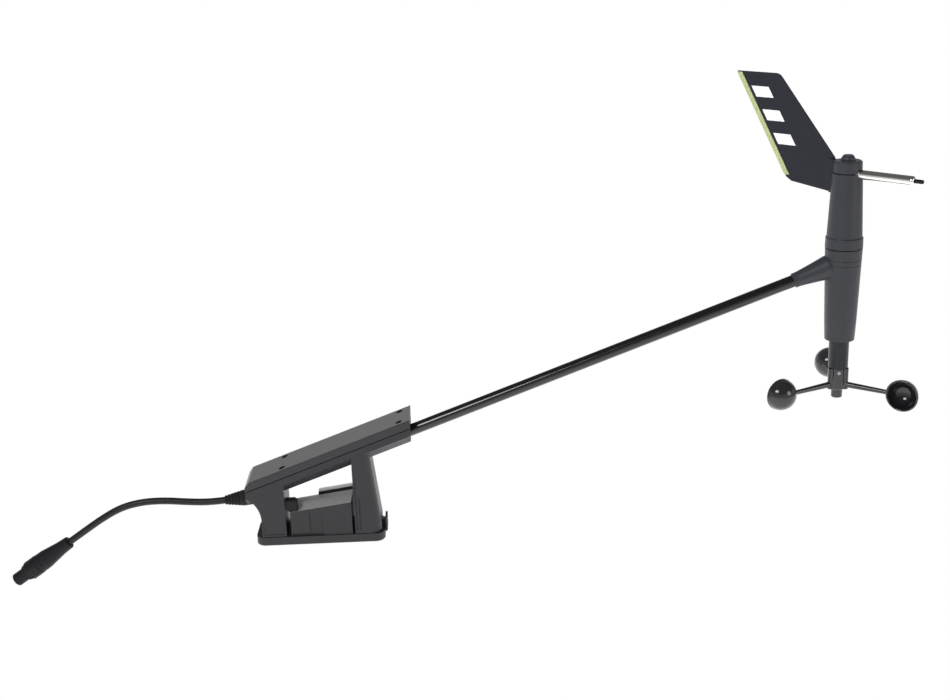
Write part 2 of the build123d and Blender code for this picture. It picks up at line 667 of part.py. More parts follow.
def make_lower_barrel():
    top = SEAM_Z - GAP
    band_low = top - BARREL_BAND_H
    wall_t = BARREL_WALL
    outer = [(0, BARREL_FOOT_Z), (BARREL_FOOT_R, BARREL_FOOT_Z), (BARREL_WAIST_R, BARREL_WAIST_Z),
             (BARREL_SEAM_R - 0.3, band_low), (BARREL_SEAM_R, top), (0, top)]
    body = turned(outer)
    for ring in (0, 1):
        z = band_low - ring * 4.5
        body -= tube(BARREL_SEAM_R + 2, BARREL_SEAM_R - 0.3 - RING_GROOVE_D - ring * 0.12, z, z + 0.8)
    body += make_boss()
    floor_z = CUP_BEARING_HIGH_Z + BEARING_T
    inside = [(0, floor_z), (BARREL_FOOT_R - wall_t + 0.5, floor_z), (BARREL_SEAM_R - wall_t - 1.0, band_low),
              (BARREL_SEAM_R - wall_t - 1.0, top - BARREL_ROOF), (0, top - BARREL_ROOF)]
    body -= turned(inside)
    body += tube(SKIRT_R + SKIRT_T, SKIRT_R, top - 1, top + SKIRT_H)
    body -= tube(POST_FOOT_R - 2.5, 0, top - BARREL_ROOF - 1, top + 1)
    body -= tube(SPINDLE_R + SEAT, 0, BARREL_FOOT_Z - 1, floor_z + 1)
    tip = boss_point(BOSS_BARREL_S + BOSS_L + 5)
    body -= rod(tip, boss_point(BOSS_BARREL_S + BOSS_L - ARM_IN_BOSS), ARM_R + SEAT)
    return body - rod(tip, boss_point(0), ARM_BORE_D / 2)


def make_boss():
    """Flared neck that carries the arm, a solid of revolution about the arm's axis."""
    end = BOSS_BARREL_S + BOSS_L
    place = Plane(origin=boss_point(end), x_dir=(TILT_X, 0, TILT_Z), z_dir=(0, -1, 0))
    flare = ThreePointArc((4, BOSS_END_R), (BOSS_L * 0.58, BOSS_END_R + 1.9), (BOSS_L, BOSS_ROOT_R))
    close = Polyline((BOSS_L, BOSS_ROOT_R), (BOSS_L + 6, BOSS_ROOT_R), (BOSS_L + 6, 0), (0, 0),
                     (0, BOSS_END_R - 0.6), (0.6, BOSS_END_R), (4, BOSS_END_R))
    profile = place * make_face(flare + close)
    axis = Axis(boss_point(end), (TILT_X, 0, TILT_Z))
    return revolve(profile, axis)


def make_spindle_housing():
    """Fixed tube under the barrel that holds the two bearings of the cup shaft."""
    flange_z = CUP_BEARING_HIGH_Z + BEARING_T
    seat_r = BEARING_OD / 2 + SEAT
    bore_r = BEARING_OD / 2 - 1.2
    low_seat = CUP_BEARING_LOW_Z + BEARING_T
    outline = [(seat_r, SPINDLE_FOOT_Z), (SPINDLE_R, SPINDLE_FOOT_Z), (SPINDLE_R, flange_z + SEAT),
               (SPINDLE_FLANGE_R, flange_z + SEAT), (SPINDLE_FLANGE_R, flange_z + SPINDLE_FLANGE_T),
               (seat_r, flange_z + SPINDLE_FLANGE_T), (seat_r, CUP_BEARING_HIGH_Z - SEAT),
               (bore_r, CUP_BEARING_HIGH_Z - SEAT), (bore_r, low_seat + SEAT), (seat_r, low_seat + SEAT)]
    return turned(outline)


def bearing_rings(z):
    """Outer ring, inner ring and balls of one ball bearing whose lower face is at z."""
    ball_r = BALL_D / 2
    groove = Pos(HEAD_X, 0, z + BEARING_T / 2) * Torus(BALL_RING_R, ball_r + RUN)
    outer = tube(BEARING_OD / 2, BALL_RING_R + ball_r * 0.55, z, z + BEARING_T) - groove
    inner = tube(BALL_RING_R - ball_r * 0.55, BEARING_ID / 2 + SEAT, z, z + BEARING_T) - groove
    balls = []
    for index in range(BALL_COUNT):
        angle = 2 * pi * index / BALL_COUNT
        place = (HEAD_X + BALL_RING_R * cos(angle), BALL_RING_R * sin(angle), z + BEARING_T / 2)
        balls.append(Pos(*place) * Sphere(ball_r))
    return outer, inner, balls


def make_post():
    """Fixed steel post that the vane turns on, with a foot under the lower barrel's roof."""
    radius = BEARING_ID / 2
    shoulder_r = radius + 1.0
    top = post_clip_z() + CLIP_T + 1.2
    outline = [(0, POST_BASE_Z), (POST_FOOT_R, POST_BASE_Z), (POST_FOOT_R, POST_BASE_Z + POST_FOOT_T - SEAT),
               (shoulder_r, POST_BASE_Z + POST_FOOT_T - SEAT), (shoulder_r, VANE_BEARING_LOW_Z - SEAT),
               (radius, VANE_BEARING_LOW_Z - SEAT), (radius, top), (0, top)]
    body = turned(outline)
    return body - clip_groove(post_clip_z())


def post_clip_z():
    return VANE_BEARING_HIGH_Z + BEARING_T + 0.3


def clip_groove(z):
    """Groove in a shaft for the retaining ring whose lower face is at z."""
    radius = BEARING_ID / 2
    return tube(radius + 1, radius - CLIP_DEPTH - SEAT, z - SEAT, z + CLIP_T + SEAT)


def make_clip(z):
    """Open retaining ring in a groove of a shaft."""
    ring = tube(CLIP_R, BEARING_ID / 2 - CLIP_DEPTH, z, z + CLIP_T)
    return ring - block(HEAD_X, HEAD_X + CLIP_R + 1, -1.4, 1.4, z - 1, z + CLIP_T + 1)


def make_upper_barrel():
    """Turning barrel: an outer skin and a bearing tube joined by the top web."""
    low = SEAM_Z + GAP
    band_high = low + BARREL_BAND_H
    outer = [(0, low), (BARREL_SEAM_R + 0.15, low), (BARREL_SEAM_R, band_high - 1),
             (BARREL_SEAM_R - BARREL_BAND_STEP, band_high), (BARREL_TOP_R, BARREL_TOP_Z), (0, BARREL_TOP_Z)]
    body = turned(outer)
    skin_low = BARREL_SEAM_R - BARREL_BAND_STEP - BARREL_WALL
    roof = VANE_BEARING_HIGH_Z - 4
    body -= turned([(HUB_R, low - 1), (skin_low + 0.6, low - 1), (skin_low - 0.6, roof - 20),
                    (BARREL_TOP_R - BARREL_WALL, roof), (HUB_R, roof)])
    seat_r = BEARING_OD / 2 + SEAT
    low_seat = VANE_BEARING_LOW_Z + BEARING_T + SEAT
    high_seat = VANE_BEARING_HIGH_Z - SEAT
    body -= tube(HUB_R + 1, 0, low - 1, VANE_BEARING_LOW_Z)
    body -= tube(seat_r, 0, low - 1, low_seat)
    body -= tube(BEARING_OD / 2 - 1.2, 0, low_seat - 1, high_seat + 1)
    body -= tube(seat_r, 0, high_seat, post_clip_z() + CLIP_T + 2.2)
    body -= tube(KNOB_SHANK_R + SEAT, 0, BARREL_TOP_Z - 7, BARREL_TOP_Z + 1)
    body -= make_spine_block(SEAT)
    return body - rod_bore()


def rod_bore():
    start = Vector(ROD_START_R, 0, ROD_Z)
    bore = rod((start.X, 0, ROD_Z), (CAP_R + 10, 0, ROD_Z), ROD_D / 2 + SEAT)
    return about_head(bore, VANE_YAW + 180)


def make_cap():
    outline = [(0, CAP_LOW_Z), (CAP_R + 0.2, CAP_LOW_Z), (CAP_R, CAP_TOP_Z - 1.0), (CAP_R - 1.0, CAP_TOP_Z),
               (0, CAP_TOP_Z)]
    body = turned(outline) + tube(CAP_R - 1.6, 0, BARREL_TOP_Z + SEAT, CAP_LOW_Z + 1)
    body -= tube(KNOB_SHANK_R + SEAT, 0, BARREL_TOP_Z - 1, CAP_TOP_Z + 1)
    body -= make_spine_block(SEAT)
    screw_r = ROD_SCREW_D / 2 + SEAT
    screw = rod((ROD_SCREW_AT_R, 0, ROD_Z), (ROD_SCREW_AT_R, 0, CAP_TOP_Z + 1), screw_r)
    return body - rod_bore() - about_head(screw, VANE_YAW + 180)


def make_knob():
    """Domed screw that holds the cap down, with a shank into the barrel's web."""
    dome = Pos(HEAD_X, 0, CAP_TOP_Z + SEAT) * Sphere(KNOB_R)
    dome = dome & tube(KNOB_R + 1, 0, CAP_TOP_Z + SEAT, CAP_TOP_Z + KNOB_H)
    dome += tube(KNOB_R, 0, CAP_TOP_Z + SEAT, CAP_TOP_Z + SEAT + 1.0)
    shank = tube(KNOB_SHANK_R, 0, BARREL_TOP_Z - 6, CAP_TOP_Z + 1)
    return dome + shank


def make_spine_block(clearance):
    """Root of the vane: an upright bar let into the side of the barrel and the cap."""
    half = SPINE_T / 2 + clearance
    low = BLADE_ROOT_LOW_Z - clearance
    high = CAP_TOP_Z + (clearance * 20)
    bar = block(SPINE_IN_R - clearance, SPINE_OUT_R, -half, half, low, high)
    return about_head(bar, VANE_YAW)


def blade_outline():
    root_r = SPINE_IN_R + 1.8
    corners = [(root_r, BLADE_ROOT_LOW_Z), (BLADE_TRAIL_LOW_R - 5, BLADE_TRAIL_LOW_Z - 3.2),
               (BLADE_TRAIL_LOW_R, BLADE_TRAIL_LOW_Z), (BLADE_TRAIL_TOP_R, BLADE_TOP_Z),
               (BLADE_LEAD_TOP_R, BLADE_TOP_Z), (root_r, BLADE_ROOT_TOP_Z)]
    face = make_face(Polyline(*corners, close=True))
    top_lead = face.vertices().sort_by_distance((BLADE_LEAD_TOP_R, BLADE_TOP_Z))[0]
    return fillet(top_lead, BLADE_CORNER_R)


def trailing_lean():
    return atan2(BLADE_TOP_Z - BLADE_TRAIL_LOW_Z, BLADE_TRAIL_TOP_R - BLADE_TRAIL_LOW_R)


def trailing_r(z):
    """Distance of the blade's trailing edge from the barrel's axis at a height."""
    return BLADE_TRAIL_LOW_R + (z - BLADE_TRAIL_LOW_Z) / tan(trailing_lean())


def strip_outline():
    lean = trailing_lean()
    inset = STRIP_W / sin(lean)
    edge = 0.8
    low = BLADE_TRAIL_LOW_Z + 2.0
    high = BLADE_TOP_Z - edge
    low_r = trailing_r(low)
    high_r = trailing_r(high)
    return make_face(Polyline((low_r - inset, low), (low_r + edge, low), (high_r + edge, high),
                              (high_r - inset, high), close=True))


def make_blade():
    plate = extrude(side_plane() * blade_outline(), BLADE_T / 2, both=True)
    spine = block(SPINE_IN_R, SPINE_OUT_R, -SPINE_T / 2, SPINE_T / 2, BLADE_ROOT_LOW_Z, CAP_TOP_Z - 0.4)
    outer = spine.edges().filter_by(Axis.Z).group_by(Axis.X)[-1]
    spine = fillet(outer, SPINE_T * 0.42)
    neck = loft([Plane(origin=(SPINE_OUT_R - 2.5, 0, 0), x_dir=(0, 1, 0), z_dir=(1, 0, 0))
                 * Pos(0, (BLADE_ROOT_LOW_Z + BLADE_ROOT_TOP_Z) / 2)
                 * Rectangle(SPINE_T - 1.2, BLADE_ROOT_TOP_Z - BLADE_ROOT_LOW_Z - 1.0),
                 Plane(origin=(SPINE_OUT_R + 5, 0, 0), x_dir=(0, 1, 0), z_dir=(1, 0, 0))
                 * Pos(0, (BLADE_ROOT_LOW_Z + BLADE_ROOT_TOP_Z) / 2)
                 * Rectangle(BLADE_T, BLADE_ROOT_TOP_Z - BLADE_ROOT_LOW_Z - 3.0)])
    body = plate + spine + (neck & extrude(side_plane() * blade_outline(), SPINE_T, both=True))
    slot = extrude(side_plane() * strip_outline(), BLADE_T, both=True)
    return about_head(body - slot, VANE_YAW)


def make_strip():
    half = BLADE_T / 2 + STRIP_T
    strip = extrude(side_plane() * strip_outline(), half, both=True)
    return about_head(strip, VANE_YAW)


def make_marks():
    """Plain slanted bars stuck on both faces of the blade."""
    bars = []
    near = BLADE_T / 2 + SEAT
    for index in range(MARK_COUNT):
        high = MARK_TOP_Z - index * MARK_PITCH
        low = high - MARK_H
        edges = [(trailing_r(z) - MARK_INSET, z) for z in (low, high)]
        outline = edges + [(edges[1][0] - MARK_L, high), (edges[0][0] - MARK_L, low)]
        for front, back in ((-near - MARK_T, -near), (near, near + MARK_T)):
            bars.append(about_head(wall_between(outline, front, back), VANE_YAW))
    return group(bars)


def make_rod():
    bar = rod((ROD_START_R + SEAT, 0, ROD_Z), (ROD_END_R, 0, ROD_Z), ROD_D / 2)
    ends = bar.edges().group_by(Axis.X)[-1]
    bar = fillet(ends, ROD_D * 0.3)
    bar -= rod((ROD_END_R - 8, 0, ROD_Z), (ROD_END_R + 1, 0, ROD_Z), ROD_TIP_D / 2 + SEAT)
    return about_head(bar, VANE_YAW + 180)


def make_rod_tip():
    tip = rod((ROD_END_R - 7, 0, ROD_Z), (ROD_TIP_R, 0, ROD_Z), ROD_TIP_D / 2)
    ends = tip.edges().group_by(Axis.X)[-1]
    return about_head(fillet(ends, ROD_TIP_D * 0.3), VANE_YAW + 180)


def make_rod_screw():
    """Grub screw from the cap's top down onto the rod."""
    low = ROD_Z + ROD_D / 2 + SEAT
    screw = rod((ROD_SCREW_AT_R, 0, low), (ROD_SCREW_AT_R, 0, CAP_TOP_Z - 0.6), ROD_SCREW_D / 2)
    hexagon = Plane(origin=(ROD_SCREW_AT_R, 0, CAP_TOP_Z - 2.6)) * RegularPolygon(0.9, 6)
    return about_head(screw - extrude(hexagon, 3), VANE_YAW + 180)


# ---- head inside ---------------------------------------------------------------------------
def make_head_board():
    """Upright board with the two field sensors, one at each end."""
    half = HEAD_BOARD_W / 2
    y = BARREL_FOOT_R - 10.4
    flat = block(HEAD_X - half, HEAD_X + half, y, y + HEAD_BOARD_T, HEAD_BOARD_LOW_Z, HEAD_BOARD_HIGH_Z)
    parts = flat
    for z in (HEAD_BOARD_LOW_Z + 4, HEAD_BOARD_HIGH_Z - 4):
        parts += block(HEAD_X - 2.5, HEAD_X + 2.5, y - 1.4, y, z - 2, z + 2)
    middle = (HEAD_BOARD_LOW_Z + HEAD_BOARD_HIGH_Z) / 2
    return parts + block(HEAD_X - 3.5, HEAD_X + 3.5, y + HEAD_BOARD_T, y + HEAD_BOARD_T + 1.2, middle - 4,
                         middle + 4)


def make_shaft():
    """Cup shaft: it turns in the spindle housing and carries the magnet on its top."""
    radius = BEARING_ID / 2
    body = tube(radius, 0, CUP_NUB_LOW_Z + 3, SHAFT_TOP_Z)
    return body - clip_groove(shaft_clip_z())


def shaft_clip_z():
    return CUP_BEARING_HIGH_Z + BEARING_T + 0.3


# ---- cups ----------------------------------------------------------------------------------
def cup_yaws():
    return [CUP_FIRST_YAW + 360 / CUP_COUNT * index for index in range(CUP_COUNT)]


def make_cup_hub():
    """Three-lobed hub with a nub below it."""
    height = CUP_HUB_TOP_Z - CUP_HUB_LOW_Z
    core = tube(CUP_HUB_R - 1.6, 0, CUP_HUB_LOW_Z + 1.5, CUP_HUB_TOP_Z)
    taper = turned([(0, CUP_HUB_LOW_Z), (CUP_NUB_R + 1.2, CUP_HUB_LOW_Z),
                    (CUP_HUB_R - 1.6, CUP_HUB_LOW_Z + 3), (0, CUP_HUB_LOW_Z + 3)])
    body = core + taper + tube(CUP_NUB_R, 0, CUP_NUB_LOW_Z, CUP_HUB_LOW_Z + 1)
    for yaw in cup_yaws():
        middle_z = CUP_HUB_LOW_Z + 1 + (height - 1) / 2
        lobe = Pos(CUP_HUB_R - CUP_LOBE_R, 0, middle_z) * Cylinder(CUP_LOBE_R, height - 1)
        body += about_head(lobe, yaw)
    nub_edge = body.edges().group_by(Axis.Z)[0]
    body = chamfer(nub_edge, 0.5)
    body -= tube(BEARING_ID / 2 + SEAT, 0, CUP_NUB_LOW_Z + 3 - SEAT, CUP_HUB_TOP_Z + 1)
    for yaw in cup_yaws():
        body -= about_head(arm_bar(SEAT), yaw)
    return body - set_screw_bar(SEAT, 0)


def arm_bar(clearance):
    """Tapered bar from the hub to the cup's side, drawn along +X."""
    start = CUP_HUB_R - 4.5 - clearance
    end = CUP_REACH - CUP_R + CUP_WALL * 0.6 + 1.2
    drop = CUP_ARM_ROOT_Z - ROTOR_Z
    axis = Vector(end - start, 0, -drop)
    place = Plane(origin=(start, 0, CUP_ARM_ROOT_Z), z_dir=axis)
    far = Plane(origin=(end, 0, ROTOR_Z), z_dir=axis)
    return loft([place * Circle(CUP_ARM_ROOT_R + clearance), far * Circle(CUP_ARM_TIP_R + clearance)])


def make_cup_arm(yaw):
    return about_head(arm_bar(0), yaw)


def cup_ball(yaw):
    """Cup drawn with its mouth facing -Y, at the end of an arm along +X."""
    mouth = Vector(CUP_REACH, -CUP_OFFSET, ROTOR_Z)
    outer = Pos(*mouth) * Sphere(CUP_R)
    front = block(0, 2 * CUP_REACH, mouth.Y, mouth.Y + 2 * CUP_R, ROTOR_Z - 2 * CUP_R, ROTOR_Z + 2 * CUP_R)
    shell = outer & front
    rim_centre = CUP_R - CUP_WALL / 2
    place = Plane(origin=tuple(mouth), z_dir=(0, -1, 0))
    shell += place * Torus(rim_centre, CUP_RIM_R)
    inner = Pos(*mouth) * Sphere(CUP_R - CUP_WALL)
    shell -= inner
    return shell


def make_cup(yaw):
    shell = cup_ball(yaw) - arm_bar(SEAT)
    pieces = shell.solids().sort_by(SortBy.VOLUME)
    return about_head(pieces[-1], yaw)


def set_screw_bar(clearance, inset):
    """Bar of the hub's set screw, square to the shaft, between two lobes."""
    start = BEARING_ID / 2 + SEAT + inset
    end = CUP_HUB_R + 1 if clearance else CUP_HUB_R - 2.0
    bar = rod((start, 0, SET_SCREW_Z), (end, 0, SET_SCREW_Z), SET_SCREW_D / 2 + clearance)
    return about_head(bar, SET_SCREW_YAW)


def make_set_screw():
    return set_screw_bar(0, 0.1)


# ---- cable and connector -------------------------------------------------------------------
def route_vectors():
    return [Vector(*point) for point in CABLE_ROUTE]


def route_radii():
    """Arc radius at each inner point: 0.45 of the shorter run over the tangent of half the turn."""
    points = route_vectors()
    radii = []
    for before, here, after in zip(points, points[1:], points[2:]):
        turn = radians((here - before).get_angle(after - here))
        shorter = min((here - before).length, (after - here).length)
        radii.append(0.45 * shorter / tan(turn / 2))
    return radii


def cable_start_direction():
    points = route_vectors()
    return (points[0] - points[1]).normalized()


def connector_direction():
    points = route_vectors()
    return (points[-1] - points[-2]).normalized()


def make_cable():
    path = FilletPolyline(*CABLE_ROUTE, radius=route_radii())
    start = Plane(origin=CABLE_EXIT, z_dir=-cable_start_direction())
    body = sweep(start * Circle(CABLE_D / 2), path=path)
    expected = pi * (CABLE_D / 2) ** 2 * path.length
    print("cable length %.1f mm, arc radii" % path.length, [round(radius) for radius in route_radii()])
    print("cable volume / (section x length) = %.4f" % (body.volume / expected))
    return body


def relief_line():
    """Axis of the strain relief, from its tip at the cable back into the housing's end."""
    tip = Vector(*CABLE_EXIT)
    inward = cable_start_direction()
    depth = (HOUSING_LEFT + HOUSING_WALL + RELIEF_IN - tip.X) / inward.X
    root = tip + inward * depth
    outside = tip + inward * ((HOUSING_LEFT - tip.X) / inward.X - 6)
    return tuple(root), tuple(outside)


def make_relief():
    """Tapered rubber sleeve with a few ring grooves."""
    root, _ = relief_line()
    tip = Vector(*CABLE_EXIT)
    axis = tip - Vector(*root)
    base = Plane(origin=root, z_dir=axis)
    straight = axis.length * 0.42
    body = extrude(base * Circle(RELIEF_ROOT_R), straight)
    middle = base.offset(straight)
    body += loft([middle * Circle(RELIEF_ROOT_R), base.offset(axis.length) * Circle(RELIEF_TIP_R)])
    for ring in range(RELIEF_RING_COUNT):
        at = straight + 2.0 + ring * (axis.length - straight - 3.0) / RELIEF_RING_COUNT
        share = (at - straight) / (axis.length - straight)
        radius = RELIEF_ROOT_R + (RELIEF_TIP_R - RELIEF_ROOT_R) * share
        groove = base.offset(at) * (Circle(radius + 1) - Circle(radius - 0.7))
        body -= extrude(groove, 0.9)
    return body


def plug_plane(distance):
    end = Vector(*CABLE_ROUTE[-1])
    return Plane(origin=tuple(end + connector_direction() * distance), x_dir=(0, 1, 0),
                 z_dir=tuple(connector_direction()))


def plug_turned(points):
    """Solid of revolution about the connector's axis from (radius, distance) points."""
    base = plug_plane(0)
    side = Plane(origin=base.origin, x_dir=base.x_dir, z_dir=base.x_dir.cross(base.z_dir))
    face = side * make_face(Polyline(*points, close=True))
    return revolve(face, Axis(base.origin, base.z_dir))


def make_plug_body():
    """Moulded grip, the core that the coupling ring turns on, the collar and the nose."""
    ring_start = GRIP_L + GAP
    ring_end = ring_start + RING_L
    collar_start = ring_end + GAP
    collar_end = collar_start + COLLAR_L
    nose_end = collar_end + NOSE_PIN_L
    outline = [(0, 0), (GRIP_BACK_R - 0.8, 0), (GRIP_BACK_R, 0.8),
               (GRIP_BACK_R + 0.6, GRIP_L * 0.3), (GRIP_FRONT_R - 0.2, GRIP_L * 0.78), (GRIP_FRONT_R, GRIP_L),
               (GRIP_CORE_R, GRIP_L), (GRIP_CORE_R, collar_start), (COLLAR_R, collar_start),
               (COLLAR_R, collar_end), (GLAND_R, collar_end), (GLAND_R, collar_end + GLAND_L),
               (NOSE_PIN_R, collar_end + GLAND_L), (NOSE_PIN_R, nose_end - 0.5),
               (NOSE_PIN_R - 0.5, nose_end), (INSERT_R + SEAT, nose_end),
               (INSERT_R + SEAT, collar_start), (0, collar_start)]
    body = plug_turned(outline)
    for index in range(6):
        flute = plug_plane(GRIP_L * 0.42) * Rot(0, 0, 60 * index) * Pos(GRIP_FRONT_R + 0.6, 0, GRIP_L * 0.24)
        body -= flute * Cylinder(1.3, GRIP_L * 0.46)
    return body


def plug_nose_end():
    """Distance of the nose's end from the end of the cable."""
    return GRIP_L + GAP + RING_L + GAP + COLLAR_L + NOSE_PIN_L


def make_coupling_ring():
    start = GRIP_L + GAP
    ring = plug_turned([(GRIP_CORE_R + RUN, start), (RING_R - 0.4, start), (RING_R, start + 0.4),
                        (RING_R, start + RING_L - 0.4), (RING_R - 0.4, start + RING_L),
                        (GRIP_CORE_R + RUN, start + RING_L)])
    for index in range(RING_NOTCHES):
        angle = 360 / RING_NOTCHES * index
        notch = plug_plane(start + RING_L / 2) * Rot(0, 0, angle) * Pos(RING_R + 0.25, 0, 0)
        ring -= notch * Box(1.5, 1.7, RING_L + 2)
    return ring


def make_insert():
    """Insulating block inside the nose that holds the contacts."""
    start = GRIP_L + GAP + RING_L + GAP + SEAT
    end = plug_nose_end() - INSERT_DEPTH
    body = plug_turned([(0, start), (INSERT_R, start), (INSERT_R, end), (0, end)])
    for place in contact_planes(start - 1):
        body -= extrude(place * Circle(CONTACT_R + SEAT), end - start + 2)
    return body


def contact_planes(distance):
    base = plug_plane(distance)
    places = [base]
    for index in range(CONTACT_COUNT - 1):
        angle = 2 * pi * index / (CONTACT_COUNT - 1) + pi / 4
        offset = (CONTACT_PITCH_R * cos(angle), CONTACT_PITCH_R * sin(angle))
        places.append(base * Pos(offset[0], offset[1], 0))
    return places


def make_contacts():
    start = plug_nose_end() - INSERT_DEPTH - 5.0
    pins = [extrude(place * Circle(CONTACT_R), 5.0 + CONTACT_L - 1.0) for place in contact_planes(start)]
    return group(pins)


def make_plug_seal():
    """Rubber ring in the groove at the root of the nose."""
    place = plug_plane(plug_nose_end() - NOSE_PIN_L + GLAND_L / 2)
    return place * Torus(GLAND_R + SEAL_WIRE_R + RUN, SEAL_WIRE_R)


# ---- all nodes -----------------------------------------------------------------------------
def all_parts():
    parts = {
        "mast_bracket": make_bracket(),
        "rubber_stop": make_stop(),
        "release_latch": make_latch(),
        "sensor_housing": make_housing(),
        "top_cover": make_cover(),
        "cover_gasket": make_gasket(),
        "cover_screws": group([make_cover_screw(x, y) for x, y in pillar_places()]),
        "circuit_board": make_board(),
        "arm_socket": make_socket(),
        "arm_pin": make_arm_pin(),
        "arm_tube": make_arm(),
        "arm_wires": make_arm_wires(),
        "lower_barrel": make_lower_barrel(),
        "head_board": make_head_board(),
        "vane_post": make_post(),
        "post_clip": make_clip(post_clip_z()),
        "spindle_housing": make_spindle_housing(),
        "upper_barrel": make_upper_barrel(),
        "vane_cap": make_cap(),
        "cap_knob": make_knob(),
        "vane_blade": make_blade(),
        "vane_edge_strip": make_strip(),
        "vane_marks": make_marks(),
        "counterweight_rod": make_rod(),
        "rod_tip": make_rod_tip(),
        "rod_screw": make_rod_screw(),
        "vane_magnet": tube(VANE_MAGNET_R, BEARING_OD / 2 - 1.4, VANE_BEARING_LOW_Z - SEAT - VANE_MAGNET_T,
                            VANE_BEARING_LOW_Z - SEAT),
        "cup_shaft": make_shaft(),
        "shaft_clip": make_clip(shaft_clip_z()),
        "cup_magnet": tube(MAGNET_R, 0, SHAFT_TOP_Z + SEAT, SHAFT_TOP_Z + SEAT + MAGNET_T),
        "cup_hub": make_cup_hub(),
        "hub_set_screw": make_set_screw(),
        "strain_relief": make_relief(),
        "cable": make_cable(),
        "plug_body": make_plug_body(),
        "coupling_ring": make_coupling_ring(),
        "plug_insert": make_insert(),
        "plug_contacts": make_contacts(),
        "plug_seal": make_plug_seal(),
    }
    for name, heights in (("vane", (VANE_BEARING_LOW_Z, VANE_BEARING_HIGH_Z)),
                          ("cup", (CUP_BEARING_LOW_Z, CUP_BEARING_HIGH_Z))):
        sets = [bearing_rings(z) for z in heights]
        parts[name + "_bearing_outer_rings"] = group([rings[0] for rings in sets])
        parts[name + "_bearing_inner_rings"] = group([rings[1] for rings in sets])
        parts[name + "_bearing_balls"] = group([ball for rings in sets for ball in rings[2]])
    for number, yaw in enumerate(cup_yaws(), start=1):
        parts["cup_arm_%d" % number] = make_cup_arm(yaw)
        parts["cup_%d" % number] = make_cup(yaw)
    return parts


os.makedirs("parts", exist_ok=True)
for node, shape in all_parts().items():
    export_step(shape, "parts/%s.step" % node)
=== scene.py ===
# %% [markdown]
# # A masthead cup anemometer
# A vane turns on top of a barrel and three cups spin under it. A long sloping arm carries them from a wedge
# housing that clips over a bracket. The CAD frame already holds every hard piece in its right place, so this
# lesson gives each piece its finish, and remakes the few pieces whose curves want a smoother mesh.

# %% Load the frame
import math
from collections import namedtuple

import bmesh
import bpy
from mathutils import Matrix, Vector


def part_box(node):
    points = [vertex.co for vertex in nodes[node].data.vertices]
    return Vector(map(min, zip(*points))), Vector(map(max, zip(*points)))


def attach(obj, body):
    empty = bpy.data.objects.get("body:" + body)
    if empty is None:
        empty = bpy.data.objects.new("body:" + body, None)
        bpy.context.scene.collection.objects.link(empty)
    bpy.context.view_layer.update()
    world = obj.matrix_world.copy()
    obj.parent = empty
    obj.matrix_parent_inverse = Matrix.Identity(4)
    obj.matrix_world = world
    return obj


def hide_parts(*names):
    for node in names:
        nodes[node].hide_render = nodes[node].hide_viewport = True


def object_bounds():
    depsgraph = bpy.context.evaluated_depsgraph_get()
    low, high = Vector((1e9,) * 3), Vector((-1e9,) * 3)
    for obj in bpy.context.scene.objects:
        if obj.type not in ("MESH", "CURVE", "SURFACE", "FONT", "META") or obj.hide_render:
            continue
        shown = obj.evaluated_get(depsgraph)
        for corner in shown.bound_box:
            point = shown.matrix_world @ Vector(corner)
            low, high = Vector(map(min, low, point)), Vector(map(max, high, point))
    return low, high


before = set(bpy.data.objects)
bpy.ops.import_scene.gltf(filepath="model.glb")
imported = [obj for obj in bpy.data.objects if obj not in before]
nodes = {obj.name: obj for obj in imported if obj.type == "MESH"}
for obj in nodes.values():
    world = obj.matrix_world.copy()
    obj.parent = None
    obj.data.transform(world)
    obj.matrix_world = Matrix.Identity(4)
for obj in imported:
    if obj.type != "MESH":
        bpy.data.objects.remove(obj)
cad_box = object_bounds()
print("CAD box", [tuple(round(value, 3) for value in corner) for corner in cad_box])

# %% [markdown]
# ## The camera
# A long lens from well back keeps the arm's lines nearly parallel. The camera is placed by two angles and a
# distance from the point it looks at, and then rolled a little, which is easier to read than a rotation.

# %% Camera
VIEW_AZIMUTH = math.radians(-0.9)
VIEW_ELEVATION = math.radians(18.2)
VIEW_ROLL = math.radians(-2.0)
VIEW_DISTANCE = 1.2109
VIEW_AIM = Vector((0.1423, 0.0, 0.169))
LENS = 53.05

level = math.cos(VIEW_ELEVATION)
back = Vector((math.sin(VIEW_AZIMUTH) * level, -math.cos(VIEW_AZIMUTH) * level, math.sin(VIEW_ELEVATION)))
right = Vector((math.cos(VIEW_AZIMUTH), math.sin(VIEW_AZIMUTH), 0.0))
upward = back.cross(right)
rolled_right = right * math.cos(VIEW_ROLL) + upward * math.sin(VIEW_ROLL)
rolled_up = upward * math.cos(VIEW_ROLL) - right * math.sin(VIEW_ROLL)

camera = bpy.data.objects.new("camera", bpy.data.cameras.new("camera"))
camera.data.lens = LENS
camera.matrix_world = Matrix.Translation(VIEW_AIM + back * VIEW_DISTANCE) @ Matrix(
    (rolled_right, rolled_up, back)).transposed().to_4x4()
bpy.context.scene.collection.objects.link(camera)
bpy.context.scene.camera = camera
print("camera at", [round(value, 3) for value in camera.location])
